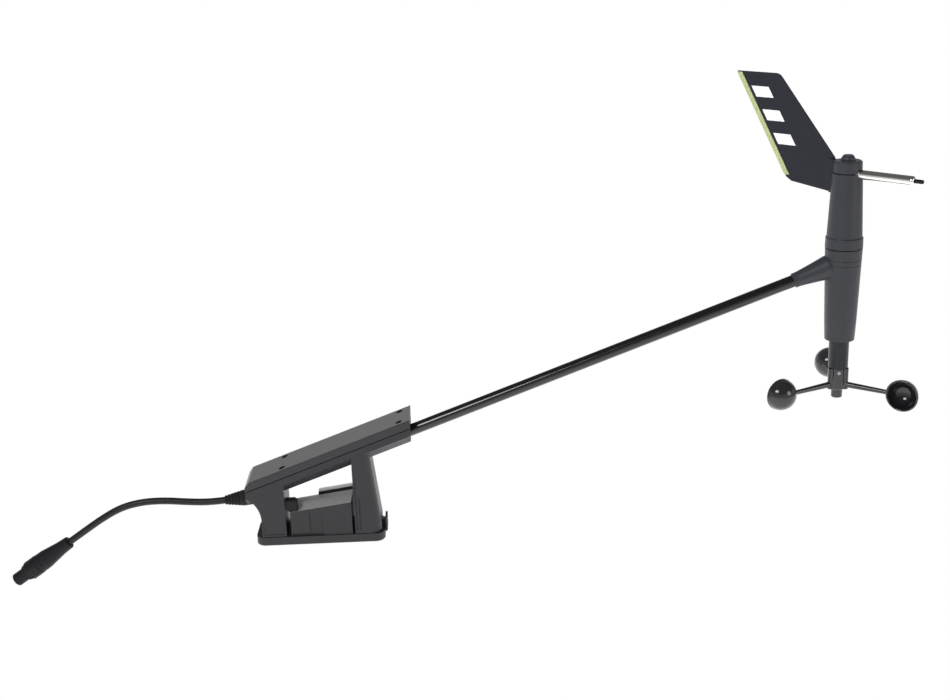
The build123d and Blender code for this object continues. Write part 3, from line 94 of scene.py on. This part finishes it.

# %% [markdown]
# ## The cable
# The cable leaves the housing's end through a tapered rubber sleeve, runs level, and droops to its connector.
# A NURBS spline through a few listed points bends smoothly, as a jacketed cable does. The thickness is
# carried by each point's radius, with a bevel of 1, because a curve's box grows by its points' radii.

# %% Cable
CABLE_DIAMETER = 0.0062
CABLE_BEVEL_STEPS = 8
CABLE_STEPS = 16
CABLE_ROUTE = [
    (-0.0850, 0.0000, 0.0375),
    (-0.0980, 0.0000, 0.0362),
    (-0.1170, 0.0004, 0.0370),
    (-0.1390, 0.0007, 0.0392),
    (-0.1590, 0.0003, 0.0389),
    (-0.1780, -0.0004, 0.0346),
    (-0.1955, -0.0008, 0.0250),
    (-0.2120, -0.0005, 0.0138),
    (-0.2275, 0.0000, 0.0030),
]

line = bpy.data.curves.new("cable_run", "CURVE")
line.dimensions = "3D"
line.bevel_depth = 1.0
line.bevel_resolution = CABLE_BEVEL_STEPS
line.resolution_u = CABLE_STEPS
line.use_fill_caps = True
spline = line.splines.new("NURBS")
spline.points.add(len(CABLE_ROUTE) - 1)
for point, place in zip(spline.points, CABLE_ROUTE):
    point.co = (*place, 1.0)
    point.radius = CABLE_DIAMETER / 2
spline.order_u = 3
spline.use_endpoint_u = True
cable_run = bpy.data.objects.new("cable_run", line)
bpy.context.scene.collection.objects.link(cable_run)
CABLE_LENGTH = spline.calc_length()
print("cable length", round(CABLE_LENGTH, 4))

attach(cable_run, "sensor")
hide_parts("cable")

# %% [markdown]
# ## Shader tools
# A finish is mostly arithmetic on patterns. Wrapping a socket in a small class lets that arithmetic be
# written as a sum, such as 0.4 + 0.1 * grain, and one method adds every other kind of node.


# %% A socket that can be added and multiplied
class Field:
    """A number that changes over the surface."""

    def __init__(self, graph, socket):
        self.graph = graph
        self.socket = socket

    def combine(self, operation, first, second):
        made = self.graph.add("ShaderNodeMath", {"operation": operation}, {0: first, 1: second})
        return Field(self.graph, made.outputs[0])

    def __add__(self, other):
        return self.combine("ADD", self, other)

    def __radd__(self, other):
        return self.combine("ADD", other, self)

    def __rsub__(self, other):
        return self.combine("SUBTRACT", other, self)

    def __mul__(self, other):
        return self.combine("MULTIPLY", self, other)

    def __rmul__(self, other):
        return self.combine("MULTIPLY", other, self)


print("sums on sockets ready")


# %% [markdown]
# Nodes are made the same way for a finish and for the surround, so both share one tree class. Its add method
# sets a node's options first, because some options change which sockets the node has.


# %% A tree of nodes
class Graph:
    """A node tree, with one method that makes any node in it."""

    def __init__(self, tree):
        self.tree = tree

    def add(self, kind, settings=None, values=None):
        """Adds a node, sets its settings first, and then its sockets' values or links."""
        node = self.tree.nodes.new(kind)
        for key, value in (settings or {}).items():
            setattr(node, key, value)
        for key, value in (values or {}).items():
            self.feed(node.inputs[key], value)
        return node

    def feed(self, socket, value):
        """Links a Field or a socket, and sets anything else as the socket's own value."""
        if isinstance(value, Field):
            value = value.socket
        if isinstance(value, bpy.types.NodeSocket):
            self.tree.links.new(value, socket)
        else:
            socket.default_value = value


print("node trees ready")


# %% [markdown]
# A finish adds the patterns that every material here is mixed from: noise, a spread between two limits, a
# tint, rounded edges and bumps.


# %% A finish: one material and its patterns
class Finish(Graph):
    """A material built node by node around one Principled shader."""

    BEVEL_SAMPLES = 6
    EDGE_TURN = (0.02, 0.22)
    made = []

    def __init__(self, name):
        self.material = bpy.data.materials.new(name)
        self.material.use_nodes = True
        super().__init__(self.material.node_tree)
        self.shader = self.tree.nodes["Principled BSDF"]
        self.made.append(name)

    def place(self):
        return self.add("ShaderNodeTexCoord").outputs["Object"]

    def noise(self, scale, detail=3.0, stretch=(1, 1, 1)):
        """Cloudy pattern in object space, from about 0 to 1."""
        mapped = self.add("ShaderNodeMapping", None, {"Vector": self.place(), "Scale": stretch})
        made = self.add("ShaderNodeTexNoise", None,
                        {"Vector": mapped.outputs[0], "Scale": scale, "Detail": detail})
        return Field(self, made.outputs[0])

    def between(self, value, low, high):
        """The value spread so that low becomes 0 and high becomes 1, and held there."""
        made = self.add("ShaderNodeMapRange", {"clamp": True},
                        {"Value": value, "From Min": low, "From Max": high})
        return Field(self, made.outputs[0])

    def tint(self, share, first, second):
        """The first colour where share is 0 and the second where it is 1."""
        made = self.add("ShaderNodeMix", {"data_type": "RGBA"})
        sockets = (made.inputs[0], made.inputs[6], made.inputs[7])
        for socket, value in zip(sockets, (share, first, second)):
            self.feed(socket, (*value, 1.0) if isinstance(value, tuple) else value)
        return made.outputs[2]

    def edges(self, radius):
        """Rounded-edge normal, and a mask that is 1 along edges and 0 on flats."""
        rounded = self.add("ShaderNodeBevel", {"samples": self.BEVEL_SAMPLES}, {"Radius": radius})
        true = self.add("ShaderNodeNewGeometry").outputs["Normal"]
        dot = self.add("ShaderNodeVectorMath", {"operation": "DOT_PRODUCT"},
                       {0: rounded.outputs[0], 1: true})
        turned = 1.0 - Field(self, dot.outputs["Value"])
        return rounded.outputs[0], self.between(turned, *self.EDGE_TURN)

    def bump(self, height, strength, distance, under=None):
        made = self.add("ShaderNodeBump", None,
                        {"Height": height, "Strength": strength, "Distance": distance})
        if under is not None:
            self.feed(made.inputs["Normal"], under)
        return made.outputs[0]

    def set(self, **values):
        """Feeds the shader's sockets, named as in specular_ior_level for Specular IOR Level."""
        for key, value in values.items():
            self.feed(self.shader.inputs[key.replace("_", " ").title().replace("Ior", "IOR")], value)


print("finishes ready")

# %% [markdown]
# ## Moulded plastic
# Most of the object is black plastic from a spark-eroded mould: a fine grain that softens its shine, a slow
# drift in gloss from handling, and edges rubbed a little paler. Noise at three sizes gives the three, and one
# function makes every moulded finish, each with its own colour, gloss and grain.
#
# The cover and the bracket have broad flats that face the sky and look paler than their sides, and that
# paler colour is painted light, standing in for the light that falls on them. A named record per face picks
# such a face by the way it looks and how high it lies, so the mesh needs no second slot.

# %% Moulded plastic
EDGE_RADIUS = 0.0004
DRIFT_SIZE = 45.0
SCUFF_RANGE = (0.52, 0.72)
GRAIN_STRENGTH = 0.35
FACE_BLEND = 0.02
HEIGHT_BLEND = 0.001

# Each face record carries a paler colour that is painted light on that face, not a colour of the plastic.
PaintedLightFace = namedtuple("PaintedLightFace", "direction closeness lowest colour roughness_change")


def painted_light_share(finish, face):
    """1 on what looks along the face's direction above its lowest height, and 0 elsewhere."""
    looking = finish.add("ShaderNodeNewGeometry").outputs["Normal"]
    along = finish.add("ShaderNodeVectorMath", {"operation": "DOT_PRODUCT"},
                       {0: looking, 1: Vector(face.direction).normalized()})
    here = finish.add("ShaderNodeSeparateXYZ", None, {"Vector": finish.place()})
    alignment = Field(finish, along.outputs["Value"])
    height = Field(finish, here.outputs["Z"])
    facing = finish.between(alignment, face.closeness - FACE_BLEND, face.closeness)
    return facing * finish.between(height, face.lowest - HEIGHT_BLEND, face.lowest)


def moulded(name, colour, worn, roughness, shine=0.34, grain_size=2600.0, grain_depth=0.00004,
            scuff_size=240.0, faces=()):
    finish = Finish(name)
    grain = finish.noise(grain_size, 4.0)
    drift = finish.noise(DRIFT_SIZE, 3.0)
    scuff = finish.between(finish.noise(scuff_size, 5.0), *SCUFF_RANGE)
    normal, edge = finish.edges(EDGE_RADIUS)
    skin = finish.tint(edge * (0.35 + 0.65 * scuff), colour, worn)
    rough = (roughness - 0.06) + 0.12 * drift + 0.05 * grain
    for face in faces:
        # Each listed face is tinted towards its paler colour: painted light for the light that falls on it.
        share = painted_light_share(finish, face)
        skin = finish.tint(share * (1.0 - 0.15 * scuff), skin, face.colour)
        rough = rough + face.roughness_change * share
    finish.set(base_color=skin, roughness=rough, specular_ior_level=shine,
               normal=finish.bump(grain, GRAIN_STRENGTH, grain_depth, normal))
    return finish.material


print("moulded plastic ready")

# %% [markdown]
# The blacks differ more than they seem to. The connector and its ring are darkest, the barrels are a little
# blue and shinier, and rubber is dull with a coarse grain.

# %% Plain moulded pieces
housing_black = moulded("housing_black", (0.013, 0.013, 0.016), (0.046, 0.046, 0.052), 0.50)
barrel_black = moulded("barrel_black", (0.018, 0.019, 0.025), (0.05, 0.05, 0.056), 0.44, 0.38)
spindle_black = moulded("spindle_black", (0.007, 0.009, 0.014), (0.03, 0.03, 0.036), 0.40, 0.30)
connector_black = moulded("connector_black", (0.003, 0.003, 0.006), (0.025, 0.025, 0.03), 0.52, 0.20)
ring_black = moulded("ring_black", (0.003, 0.003, 0.004), (0.03, 0.03, 0.034), 0.42, 0.22)
vane_navy = moulded("vane_navy", (0.006, 0.007, 0.013), (0.03, 0.03, 0.042), 0.50, 0.30,
                    grain_size=3200.0, grain_depth=0.00002)
rubber_black = moulded("rubber_black", (0.005, 0.005, 0.005), (0.016, 0.016, 0.016), 0.80,
                       grain_size=1400.0, grain_depth=0.00006)
print("finishes so far", len(Finish.made), "with", Finish.made[-1], "the latest")

# %% [markdown]
# The bracket's pedestal, the cover's slope and the cover's cut end each face a way of their own, and that is
# how they are told from the sides. Each is painted paler than the sides, which is painted light for the light
# that falls on it. The pedestal top is also glossier than the rest of the bracket.

# %% Moulded pieces with paler faces
PEDESTAL_TOP_HEIGHT = 0.029
COVER_SLOPE = math.radians(20.2)
BROAD_GRAIN = {"grain_size": 2200.0, "grain_depth": 0.00005, "scuff_size": 210.0}

# The paler colours in these three records are painted light, not the plastic's own colour.
pedestal_top_painted_light = PaintedLightFace((0, 0, 1), 0.9, PEDESTAL_TOP_HEIGHT, (0.34, 0.34, 0.345), -0.14)
cover_up = (-math.sin(COVER_SLOPE), 0, math.cos(COVER_SLOPE))
cover_top_painted_light = PaintedLightFace(cover_up, 0.985, 0.0, (0.072, 0.070, 0.070), 0.0)
cover_end_painted_light = PaintedLightFace((-1, 0, 0.25), 0.9, 0.0, (0.15, 0.15, 0.145), 0.0)

bracket_black = moulded("bracket_black", (0.013, 0.013, 0.015), (0.046, 0.046, 0.05), 0.52,
                        faces=[pedestal_top_painted_light], **BROAD_GRAIN)
# The cover is the same black plastic as the rest; its grey look is painted light on its top and its end.
cover_black_painted_light = moulded("cover_black_painted_light", (0.020, 0.020, 0.023), (0.07, 0.07, 0.074), 0.56,
                     faces=[cover_top_painted_light, cover_end_painted_light], **BROAD_GRAIN)
print("finishes so far", len(Finish.made), "with", Finish.made[-1], "the latest")

# %% [markdown]
# ## Cable jacket
# A polyurethane jacket is smooth but not glossy, and it picks up faint scuffs along its length. Noise that is
# squeezed across the cable and left long beside it gives scuffs that run the way the cable is handled.


# %% Cable jacket
def jacket(name, colour):
    finish = Finish(name)
    skin = finish.noise(900.0, 3.0)
    rub = finish.between(finish.noise(60.0, 4.0, (1.0, 4.0, 4.0)), 0.5, 0.75)
    finish.set(base_color=finish.tint(rub, colour, tuple(value * 1.9 for value in colour)),
               roughness=0.40 + 0.14 * rub, specular_ior_level=0.26,
               normal=finish.bump(skin, 0.25, 0.00004))
    return finish.material


cable_black = jacket("cable_black", (0.005, 0.005, 0.006))
wire_red = jacket("wire_red", (0.30, 0.06, 0.05))
cable_run.data.materials.append(cable_black)
print("finishes so far", len(Finish.made), "with", Finish.made[-1], "the latest")

# %% [markdown]
# ## Gloss black
# The arm is sprayed gloss black and the cups are moulded glossy. Both need long clean reflections, so their
# grain is almost gone, and only a faint orange peel bends the highlight under a thin clear coat.

# %% Gloss black
GLOSS_WORN = (0.06, 0.06, 0.06)
GLOSS_EDGE = 0.0003


def gloss(name, colour, roughness, peel):
    finish = Finish(name)
    normal, edge = finish.edges(GLOSS_EDGE)
    wave = finish.noise(420.0, 2.0)
    dust = finish.between(finish.noise(130.0, 5.0), 0.55, 0.8)
    finish.set(base_color=finish.tint(edge * 0.5, colour, GLOSS_WORN), roughness=roughness + 0.10 * dust,
               specular_ior_level=0.40, coat_weight=0.20, coat_roughness=0.06,
               normal=finish.bump(wave, peel, 0.00005, normal))
    return finish.material


arm_gloss = gloss("arm_gloss", (0.003, 0.003, 0.003), 0.18, 0.20)
cup_gloss = gloss("cup_gloss", (0.012, 0.012, 0.014), 0.13, 0.10)
print("finishes so far", len(Finish.made), "with", Finish.made[-1], "the latest")

# %% [markdown]
# ## Metals
# The counterweight rod is polished stainless, drawn lengthwise, so its fine scratches run along it. Screws
# and bearings are duller. One function makes them all: the stretch gives the scratches their direction, and
# the spread says how much they roughen the shine.

# %% Metals
METAL_EDGE = 0.0002
STAIN_SHARE = 0.6


def metal(name, colour, roughness, stretch=(1, 1, 1), depth=0.15, spread=0.10):
    finish = Finish(name)
    scratch = finish.noise(700.0, 4.0, stretch)
    stain = finish.between(finish.noise(90.0, 3.0), 0.55, 0.8)
    normal, _ = finish.edges(METAL_EDGE)
    finish.set(base_color=finish.tint(stain * 0.4, colour, tuple(value * 0.72 for value in colour)),
               roughness=roughness + spread * scratch + spread * STAIN_SHARE * stain, metallic=1.0,
               normal=finish.bump(scratch, depth, 0.00002, normal))
    return finish.material


rod_polished = metal("rod_polished", (0.62, 0.61, 0.59), 0.04, (0.3, 6.0, 6.0), 0.05, 0.03)
steel_plain = metal("steel_plain", (0.55, 0.55, 0.56), 0.26)
steel_dull = metal("steel_dull", (0.26, 0.27, 0.29), 0.40)
steel_dark = metal("steel_dark", (0.022, 0.022, 0.024), 0.46)
magnet_plate = metal("magnet_plate", (0.42, 0.42, 0.44), 0.30)
contact_gold = metal("contact_gold", (0.86, 0.62, 0.26), 0.22)
print("finishes so far", len(Finish.made), "with", Finish.made[-1], "the latest")

# %% [markdown]
# ## Reflective film
# Retroreflective film is a sheet of tiny cells under clear plastic. A Voronoi pattern gives the cells their
# size, and a clear coat gives the film its smooth face.

# %% Reflective film
FILM_CELLS = 900.0
FILM_WALL = 0.12


def film(name, colour, seam):
    finish = Finish(name)
    cells = finish.add("ShaderNodeTexVoronoi", {"feature": "DISTANCE_TO_EDGE"},
                       {"Vector": finish.place(), "Scale": FILM_CELLS})
    wall = finish.between(Field(finish, cells.outputs["Distance"]), 0.0, FILM_WALL)
    grime = finish.between(finish.noise(110.0, 4.0), 0.5, 0.85)
    finish.set(base_color=finish.tint(wall * (1.0 - 0.25 * grime), seam, colour),
               roughness=0.34 + 0.12 * grime, coat_weight=0.4, coat_roughness=0.12,
               normal=finish.bump(wall, 0.15, 0.00003))
    return finish.material


lime_film = film("lime_film", (0.47, 0.53, 0.25), (0.16, 0.19, 0.08))
white_film = film("white_film", (0.84, 0.85, 0.86), (0.62, 0.63, 0.64))
print("finishes so far", len(Finish.made), "with", Finish.made[-1], "the latest")

# %% [markdown]
# ## Circuit board
# The boards are hidden inside, but they show when the object is taken apart: green mask over copper tracks.
# A brick pattern is a quick stand-in for tracks, since no one follows them from pad to pad.

# %% Circuit board
TRACK_SCALE = 220.0
MASK_GREEN = (0.012, 0.11, 0.035)
TRACK_GREEN = (0.03, 0.19, 0.07)


def board(name):
    finish = Finish(name)
    tracks = finish.add("ShaderNodeTexBrick", {"offset": 0.5},
                        {"Vector": finish.place(), "Scale": TRACK_SCALE})
    track = finish.between(Field(finish, tracks.outputs["Fac"]), 0.3, 0.7)
    finish.set(base_color=finish.tint(track, MASK_GREEN, TRACK_GREEN), roughness=0.36 + 0.10 * track,
               normal=finish.bump(track, 0.3, 0.00004))
    return finish.material


board_green = board("board_green")
print("finishes so far", len(Finish.made), "with", Finish.made[-1], "the latest")

# %% [markdown]
# ## Which piece has which finish
# Each CAD piece keeps its mesh. Only the material in its slot changes. The cups, the cable and its sleeve are
# left out of this list, because new pieces stand in for them.

# %% Finishes on the CAD pieces
BEARING_PIECES = ["%s_bearing_%s" % (place, piece) for place in ("vane", "cup")
                  for piece in ("outer_rings", "inner_rings", "balls")]

FINISHES = {
    bracket_black: ["mast_bracket", "release_latch"],
    housing_black: ["sensor_housing"],
    cover_black_painted_light: ["top_cover"],
    barrel_black: ["lower_barrel", "upper_barrel", "vane_cap", "cap_knob"],
    spindle_black: ["spindle_housing"],
    connector_black: ["arm_socket", "plug_insert", "plug_body"],
    ring_black: ["coupling_ring"],
    vane_navy: ["vane_blade"],
    rubber_black: ["rubber_stop", "cover_gasket", "plug_seal"],
    wire_red: ["arm_wires"],
    arm_gloss: ["arm_tube"],
    cup_gloss: ["cup_hub", "cup_arm_1", "cup_arm_2", "cup_arm_3"],
    rod_polished: ["counterweight_rod", "vane_post", "cup_shaft"],
    steel_dull: ["hub_set_screw"],
    steel_plain: ["rod_screw", "arm_pin", "post_clip", "shaft_clip"] + BEARING_PIECES,
    steel_dark: ["rod_tip", "cover_screws"],
    magnet_plate: ["vane_magnet", "cup_magnet"],
    contact_gold: ["plug_contacts"],
    lime_film: ["vane_edge_strip"],
    white_film: ["vane_marks"],
    board_green: ["circuit_board", "head_board"],
}

dressed = 0
for material, names in FINISHES.items():
    for name in names:
        for slot in nodes[name].material_slots:
            slot.material = material
        dressed += 1
print("CAD pieces given a finish", dressed, "of", len(nodes))

# %% [markdown]
# ## Spun pieces
# A cup and a cable sleeve are both turned shapes. Each could be joined from spheres and cones, but spinning
# one outline about an axis gives walls, beads and ribs in a single smooth skin. The outline is drawn as
# distances from the axis and along it, spun a full turn, welded, and only then turned to its place.

# %% A smooth solid from a closed outline
WELD_DISTANCE = 0.000002


def spun(name, outline, steps, origin, direction):
    """Spins an outline of (radius, distance) pairs about an axis through origin."""
    bm = bmesh.new()
    ring = [bm.verts.new((radius, 0.0, distance)) for radius, distance in outline]
    edges = [bm.edges.new((first, second)) for first, second in zip(ring, ring[1:])]
    bmesh.ops.spin(bm, geom=ring + edges, cent=(0, 0, 0), axis=(0, 0, 1), dvec=(0, 0, 0),
                   angle=math.tau, steps=steps, use_merge=True, use_duplicate=False)
    bmesh.ops.remove_doubles(bm, verts=bm.verts, dist=WELD_DISTANCE)
    bmesh.ops.recalc_face_normals(bm, faces=bm.faces)
    turn = Vector((0, 0, 1)).rotation_difference(Vector(direction)).to_matrix().to_4x4()
    bmesh.ops.transform(bm, matrix=Matrix.Translation(origin) @ turn, verts=bm.verts)
    for face in bm.faces:
        face.smooth = True
    mesh = bpy.data.meshes.new(name)
    bm.to_mesh(mesh)
    bm.free()
    piece = bpy.data.objects.new(name, mesh)
    bpy.context.scene.collection.objects.link(piece)
    print(name, "faces", len(mesh.polygons))
    return piece


def arc(radius, start, end, count, centre=(0.0, 0.0)):
    """Points round an arc, from start to end in degrees."""
    angles = [math.radians(start + (end - start) * index / count) for index in range(count + 1)]
    return [(centre[0] + radius * math.cos(angle), centre[1] + radius * math.sin(angle)) for angle in angles]


print("spinning ready")

# %% [markdown]
# ## Cups
# Each cup is a thin half ball with a bead round its mouth, which stiffens it. Its outline goes down the
# outside, round the bead and back up the inside, so the wall is real and the spin closes it at the pole. The
# three hang 120 degrees apart and all face the same way round the shaft, which is what makes them turn.

# %% Cups
CUP_RADIUS = 0.0139
CUP_WALL = 0.0013
CUP_BEAD = 0.0009
CUP_REACH = 0.0585
CUP_MOUTH = 0.0030
CUP_FIRST_YAW = 84.0
CUP_STEPS = 64
CUP_LIP_ANGLE = 4
CUP_WALL_STEPS = 22
CUP_BEAD_TURN = (-30, 210)
CUP_BEAD_STEPS = 10

shaft_low, shaft_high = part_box("cup_shaft")
axis_x = (shaft_low[0] + shaft_high[0]) / 2
cup_low, cup_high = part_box("cup_1")
rotor_height = (cup_low[2] + cup_high[2]) / 2
inner_radius = CUP_RADIUS - CUP_WALL
bead_centre = (CUP_RADIUS - CUP_WALL / 2, 0.0)

cup_outline = arc(CUP_RADIUS, -90, -CUP_LIP_ANGLE, CUP_WALL_STEPS)
cup_outline += arc(CUP_BEAD, *CUP_BEAD_TURN, CUP_BEAD_STEPS, bead_centre)
cup_outline += arc(inner_radius, -CUP_LIP_ANGLE, -90, CUP_WALL_STEPS)
cup_outline[0] = (0.0, -CUP_RADIUS)
cup_outline[-1] = (0.0, -inner_radius)

for number in range(3):
    yaw = math.radians(CUP_FIRST_YAW + 120 * number)
    along = Vector((math.cos(yaw), math.sin(yaw), 0.0))
    mouth = Vector((math.sin(yaw), -math.cos(yaw), 0.0))
    centre = Vector((axis_x, 0.0, rotor_height)) + along * CUP_REACH + mouth * CUP_MOUTH
    cup = spun("cup_shell_%d" % (number + 1), cup_outline, CUP_STEPS, centre, mouth)
    cup.data.materials.append(cup_gloss)
    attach(cup, "cups")
    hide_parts("cup_%d" % (number + 1))

# %% [markdown]
# ## Cable sleeve
# The rubber sleeve keeps the cable from kinking where it leaves the housing. It tapers towards the cable, and
# cut rings let it bend a little. The same spin makes it, with a dip in the outline for each ring. It runs on
# until its widest point is level with the end of the housing's own boss.

# %% Cable sleeve
SLEEVE_TIP_RADIUS = 0.0040
SLEEVE_ROOT_RADIUS = 0.0070
SLEEVE_RIBS = 5
SLEEVE_GROOVE = 0.0007
SLEEVE_GROOVE_LENGTH = 0.0011
SLEEVE_TAPER = 0.58
SLEEVE_STEPS = 48
SLEEVE_FIRST_GROOVE = 0.0018
SLEEVE_TIP_ROUND = 0.0005
GROOVE_PROFILE = ((0.0, 0.0), (0.15, 0.8), (0.5, 1.0), (0.85, 0.8), (1.0, 0.0))

sleeve_tip = Vector(CABLE_ROUTE[0])
inward = (sleeve_tip - Vector(CABLE_ROUTE[1])).normalized()
_, sleeve_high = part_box("strain_relief")
root_drop = SLEEVE_ROOT_RADIUS * math.sqrt(1 - inward.x ** 2)
sleeve_length = (sleeve_high[0] - root_drop - sleeve_tip.x) / inward.x
taper_length = sleeve_length * SLEEVE_TAPER


def sleeve_radius(distance):
    """The sleeve's radius at a distance from its tip, before the grooves are cut."""
    share = min(distance / taper_length, 1.0)
    return SLEEVE_TIP_RADIUS + (SLEEVE_ROOT_RADIUS - SLEEVE_TIP_RADIUS) * share


sleeve_outline = [(0.0, 0.0), (SLEEVE_TIP_RADIUS - SLEEVE_TIP_ROUND, 0.0),
                  (SLEEVE_TIP_RADIUS, SLEEVE_TIP_ROUND)]
for rib in range(SLEEVE_RIBS):
    groove = SLEEVE_FIRST_GROOVE + rib * (taper_length - SLEEVE_FIRST_GROOVE) / SLEEVE_RIBS
    for share, depth in GROOVE_PROFILE:
        distance = groove + share * SLEEVE_GROOVE_LENGTH
        sleeve_outline.append((sleeve_radius(distance) - depth * SLEEVE_GROOVE, distance))
sleeve_outline += [(SLEEVE_ROOT_RADIUS, taper_length), (SLEEVE_ROOT_RADIUS, sleeve_length)]
sleeve_outline.append((0.0, sleeve_length))

sleeve = spun("cable_sleeve", sleeve_outline, SLEEVE_STEPS, sleeve_tip, inward)
sleeve.data.materials.append(rubber_black)
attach(sleeve, "sensor")
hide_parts("strain_relief")
print("sleeve length", round(sleeve_length, 4))

# %% [markdown]
# ## Floor
# The object is shown as in a catalogue, on an over-lit white table that glows a little and throws light up
# from below. The camera is kept from seeing the table itself, so no grey shadow lies under the object.

# %% Floor
FLOOR_DROP = 0.012
FLOOR_HALF = 1.5
FLOOR_GLOW = 0.42
FLOOR_MIDDLE = 0.2

bm = bmesh.new()
bmesh.ops.create_grid(bm, x_segments=1, y_segments=1, size=FLOOR_HALF)
bmesh.ops.translate(bm, verts=bm.verts, vec=(FLOOR_MIDDLE, 0.0, cad_box[0].z - FLOOR_DROP))
floor_mesh = bpy.data.meshes.new("floor")
bm.to_mesh(floor_mesh)
bm.free()
floor = bpy.data.objects.new("floor", floor_mesh)
bpy.context.scene.collection.objects.link(floor)
paper = Finish("paper_white")
paper.set(base_color=paper.tint(paper.noise(3.0, 2.0), (0.90, 0.90, 0.90), (0.93, 0.93, 0.93)), roughness=0.9,
          emission_color=(1.0, 1.0, 1.0, 1.0), emission_strength=FLOOR_GLOW)
floor.data.materials.append(paper.material)
floor.visible_camera = False
print("floor at height", round(floor_mesh.vertices[0].co.z, 4))

# %% [markdown]
# ## Lights
# Three soft lamps: a key from the front left, a weak fill from the right, and a broad one overhead. The
# overhead lamp is kept out of mirror reflections, because it would draw a white line along the polished rod
# and the gloss arm, whose upper sides should mirror a dim room.

# %% Lights
MIDDLE = (0.2, 0.0, 0.15)


def soft_light(name, place, size, power):
    """A rectangular lamp that points at the middle of the object."""
    lamp = bpy.data.lights.new(name, "AREA")
    lamp.shape = "RECTANGLE"
    lamp.size, lamp.size_y = size
    lamp.energy = power
    holder = bpy.data.objects.new(name, lamp)
    holder.location = place
    holder.rotation_mode = "QUATERNION"
    holder.rotation_quaternion = (Vector(MIDDLE) - Vector(place)).to_track_quat("-Z", "Y")
    bpy.context.scene.collection.objects.link(holder)
    return holder


soft_light("key", (-0.7, -1.1, 1.3), (0.7, 0.5), 16.0)
soft_light("fill", (1.5, -0.9, 0.6), (0.6, 0.6), 5.0)
overhead = soft_light("top", (0.15, 0.35, 1.7), (1.0, 0.7), 38.0)
overhead.visible_glossy = False

# %% [markdown]
# ## Surround
# Black plastic shows mostly what it mirrors, so the surround decides how dark it looks. It is bright in a
# belt near the horizon and dim overhead, which leaves the sides dark, while the lamps lighten what faces up.
# A camera ray that meets nothing sees plain white instead, as on a catalogue page.

# %% Surround
HORIZON_GLOW = 0.80
OVERHEAD_GLOW = 0.16
BELT_LOW = 0.10
BELT_HIGH = 0.50
SEEN_GLOW = 1.0

world = bpy.data.worlds.new("surround")
world.use_nodes = True
sky = Graph(world.node_tree)
outward = sky.add("ShaderNodeTexCoord").outputs["Generated"]
height = sky.add("ShaderNodeSeparateXYZ", None, {"Vector": outward}).outputs["Z"]
belt = sky.add("ShaderNodeMapRange", {"interpolation_type": "SMOOTHSTEP"},
               {"Value": height, "From Min": BELT_LOW, "From Max": BELT_HIGH,
                "To Min": HORIZON_GLOW, "To Max": OVERHEAD_GLOW})
seen = sky.add("ShaderNodeLightPath").outputs["Is Camera Ray"]
shown = sky.add("ShaderNodeMix", None, {"Factor": seen, "A": belt.outputs[0], "B": SEEN_GLOW})
background = sky.tree.nodes["Background"]
sky.feed(background.inputs["Strength"], shown.outputs[0])
sky.feed(background.inputs["Color"], (1.0, 1.0, 1.0, 1.0))
bpy.context.scene.world = world
bpy.context.scene.view_settings.view_transform = "Standard"
print("surround from", OVERHEAD_GLOW, "overhead to", HORIZON_GLOW, "at the horizon")
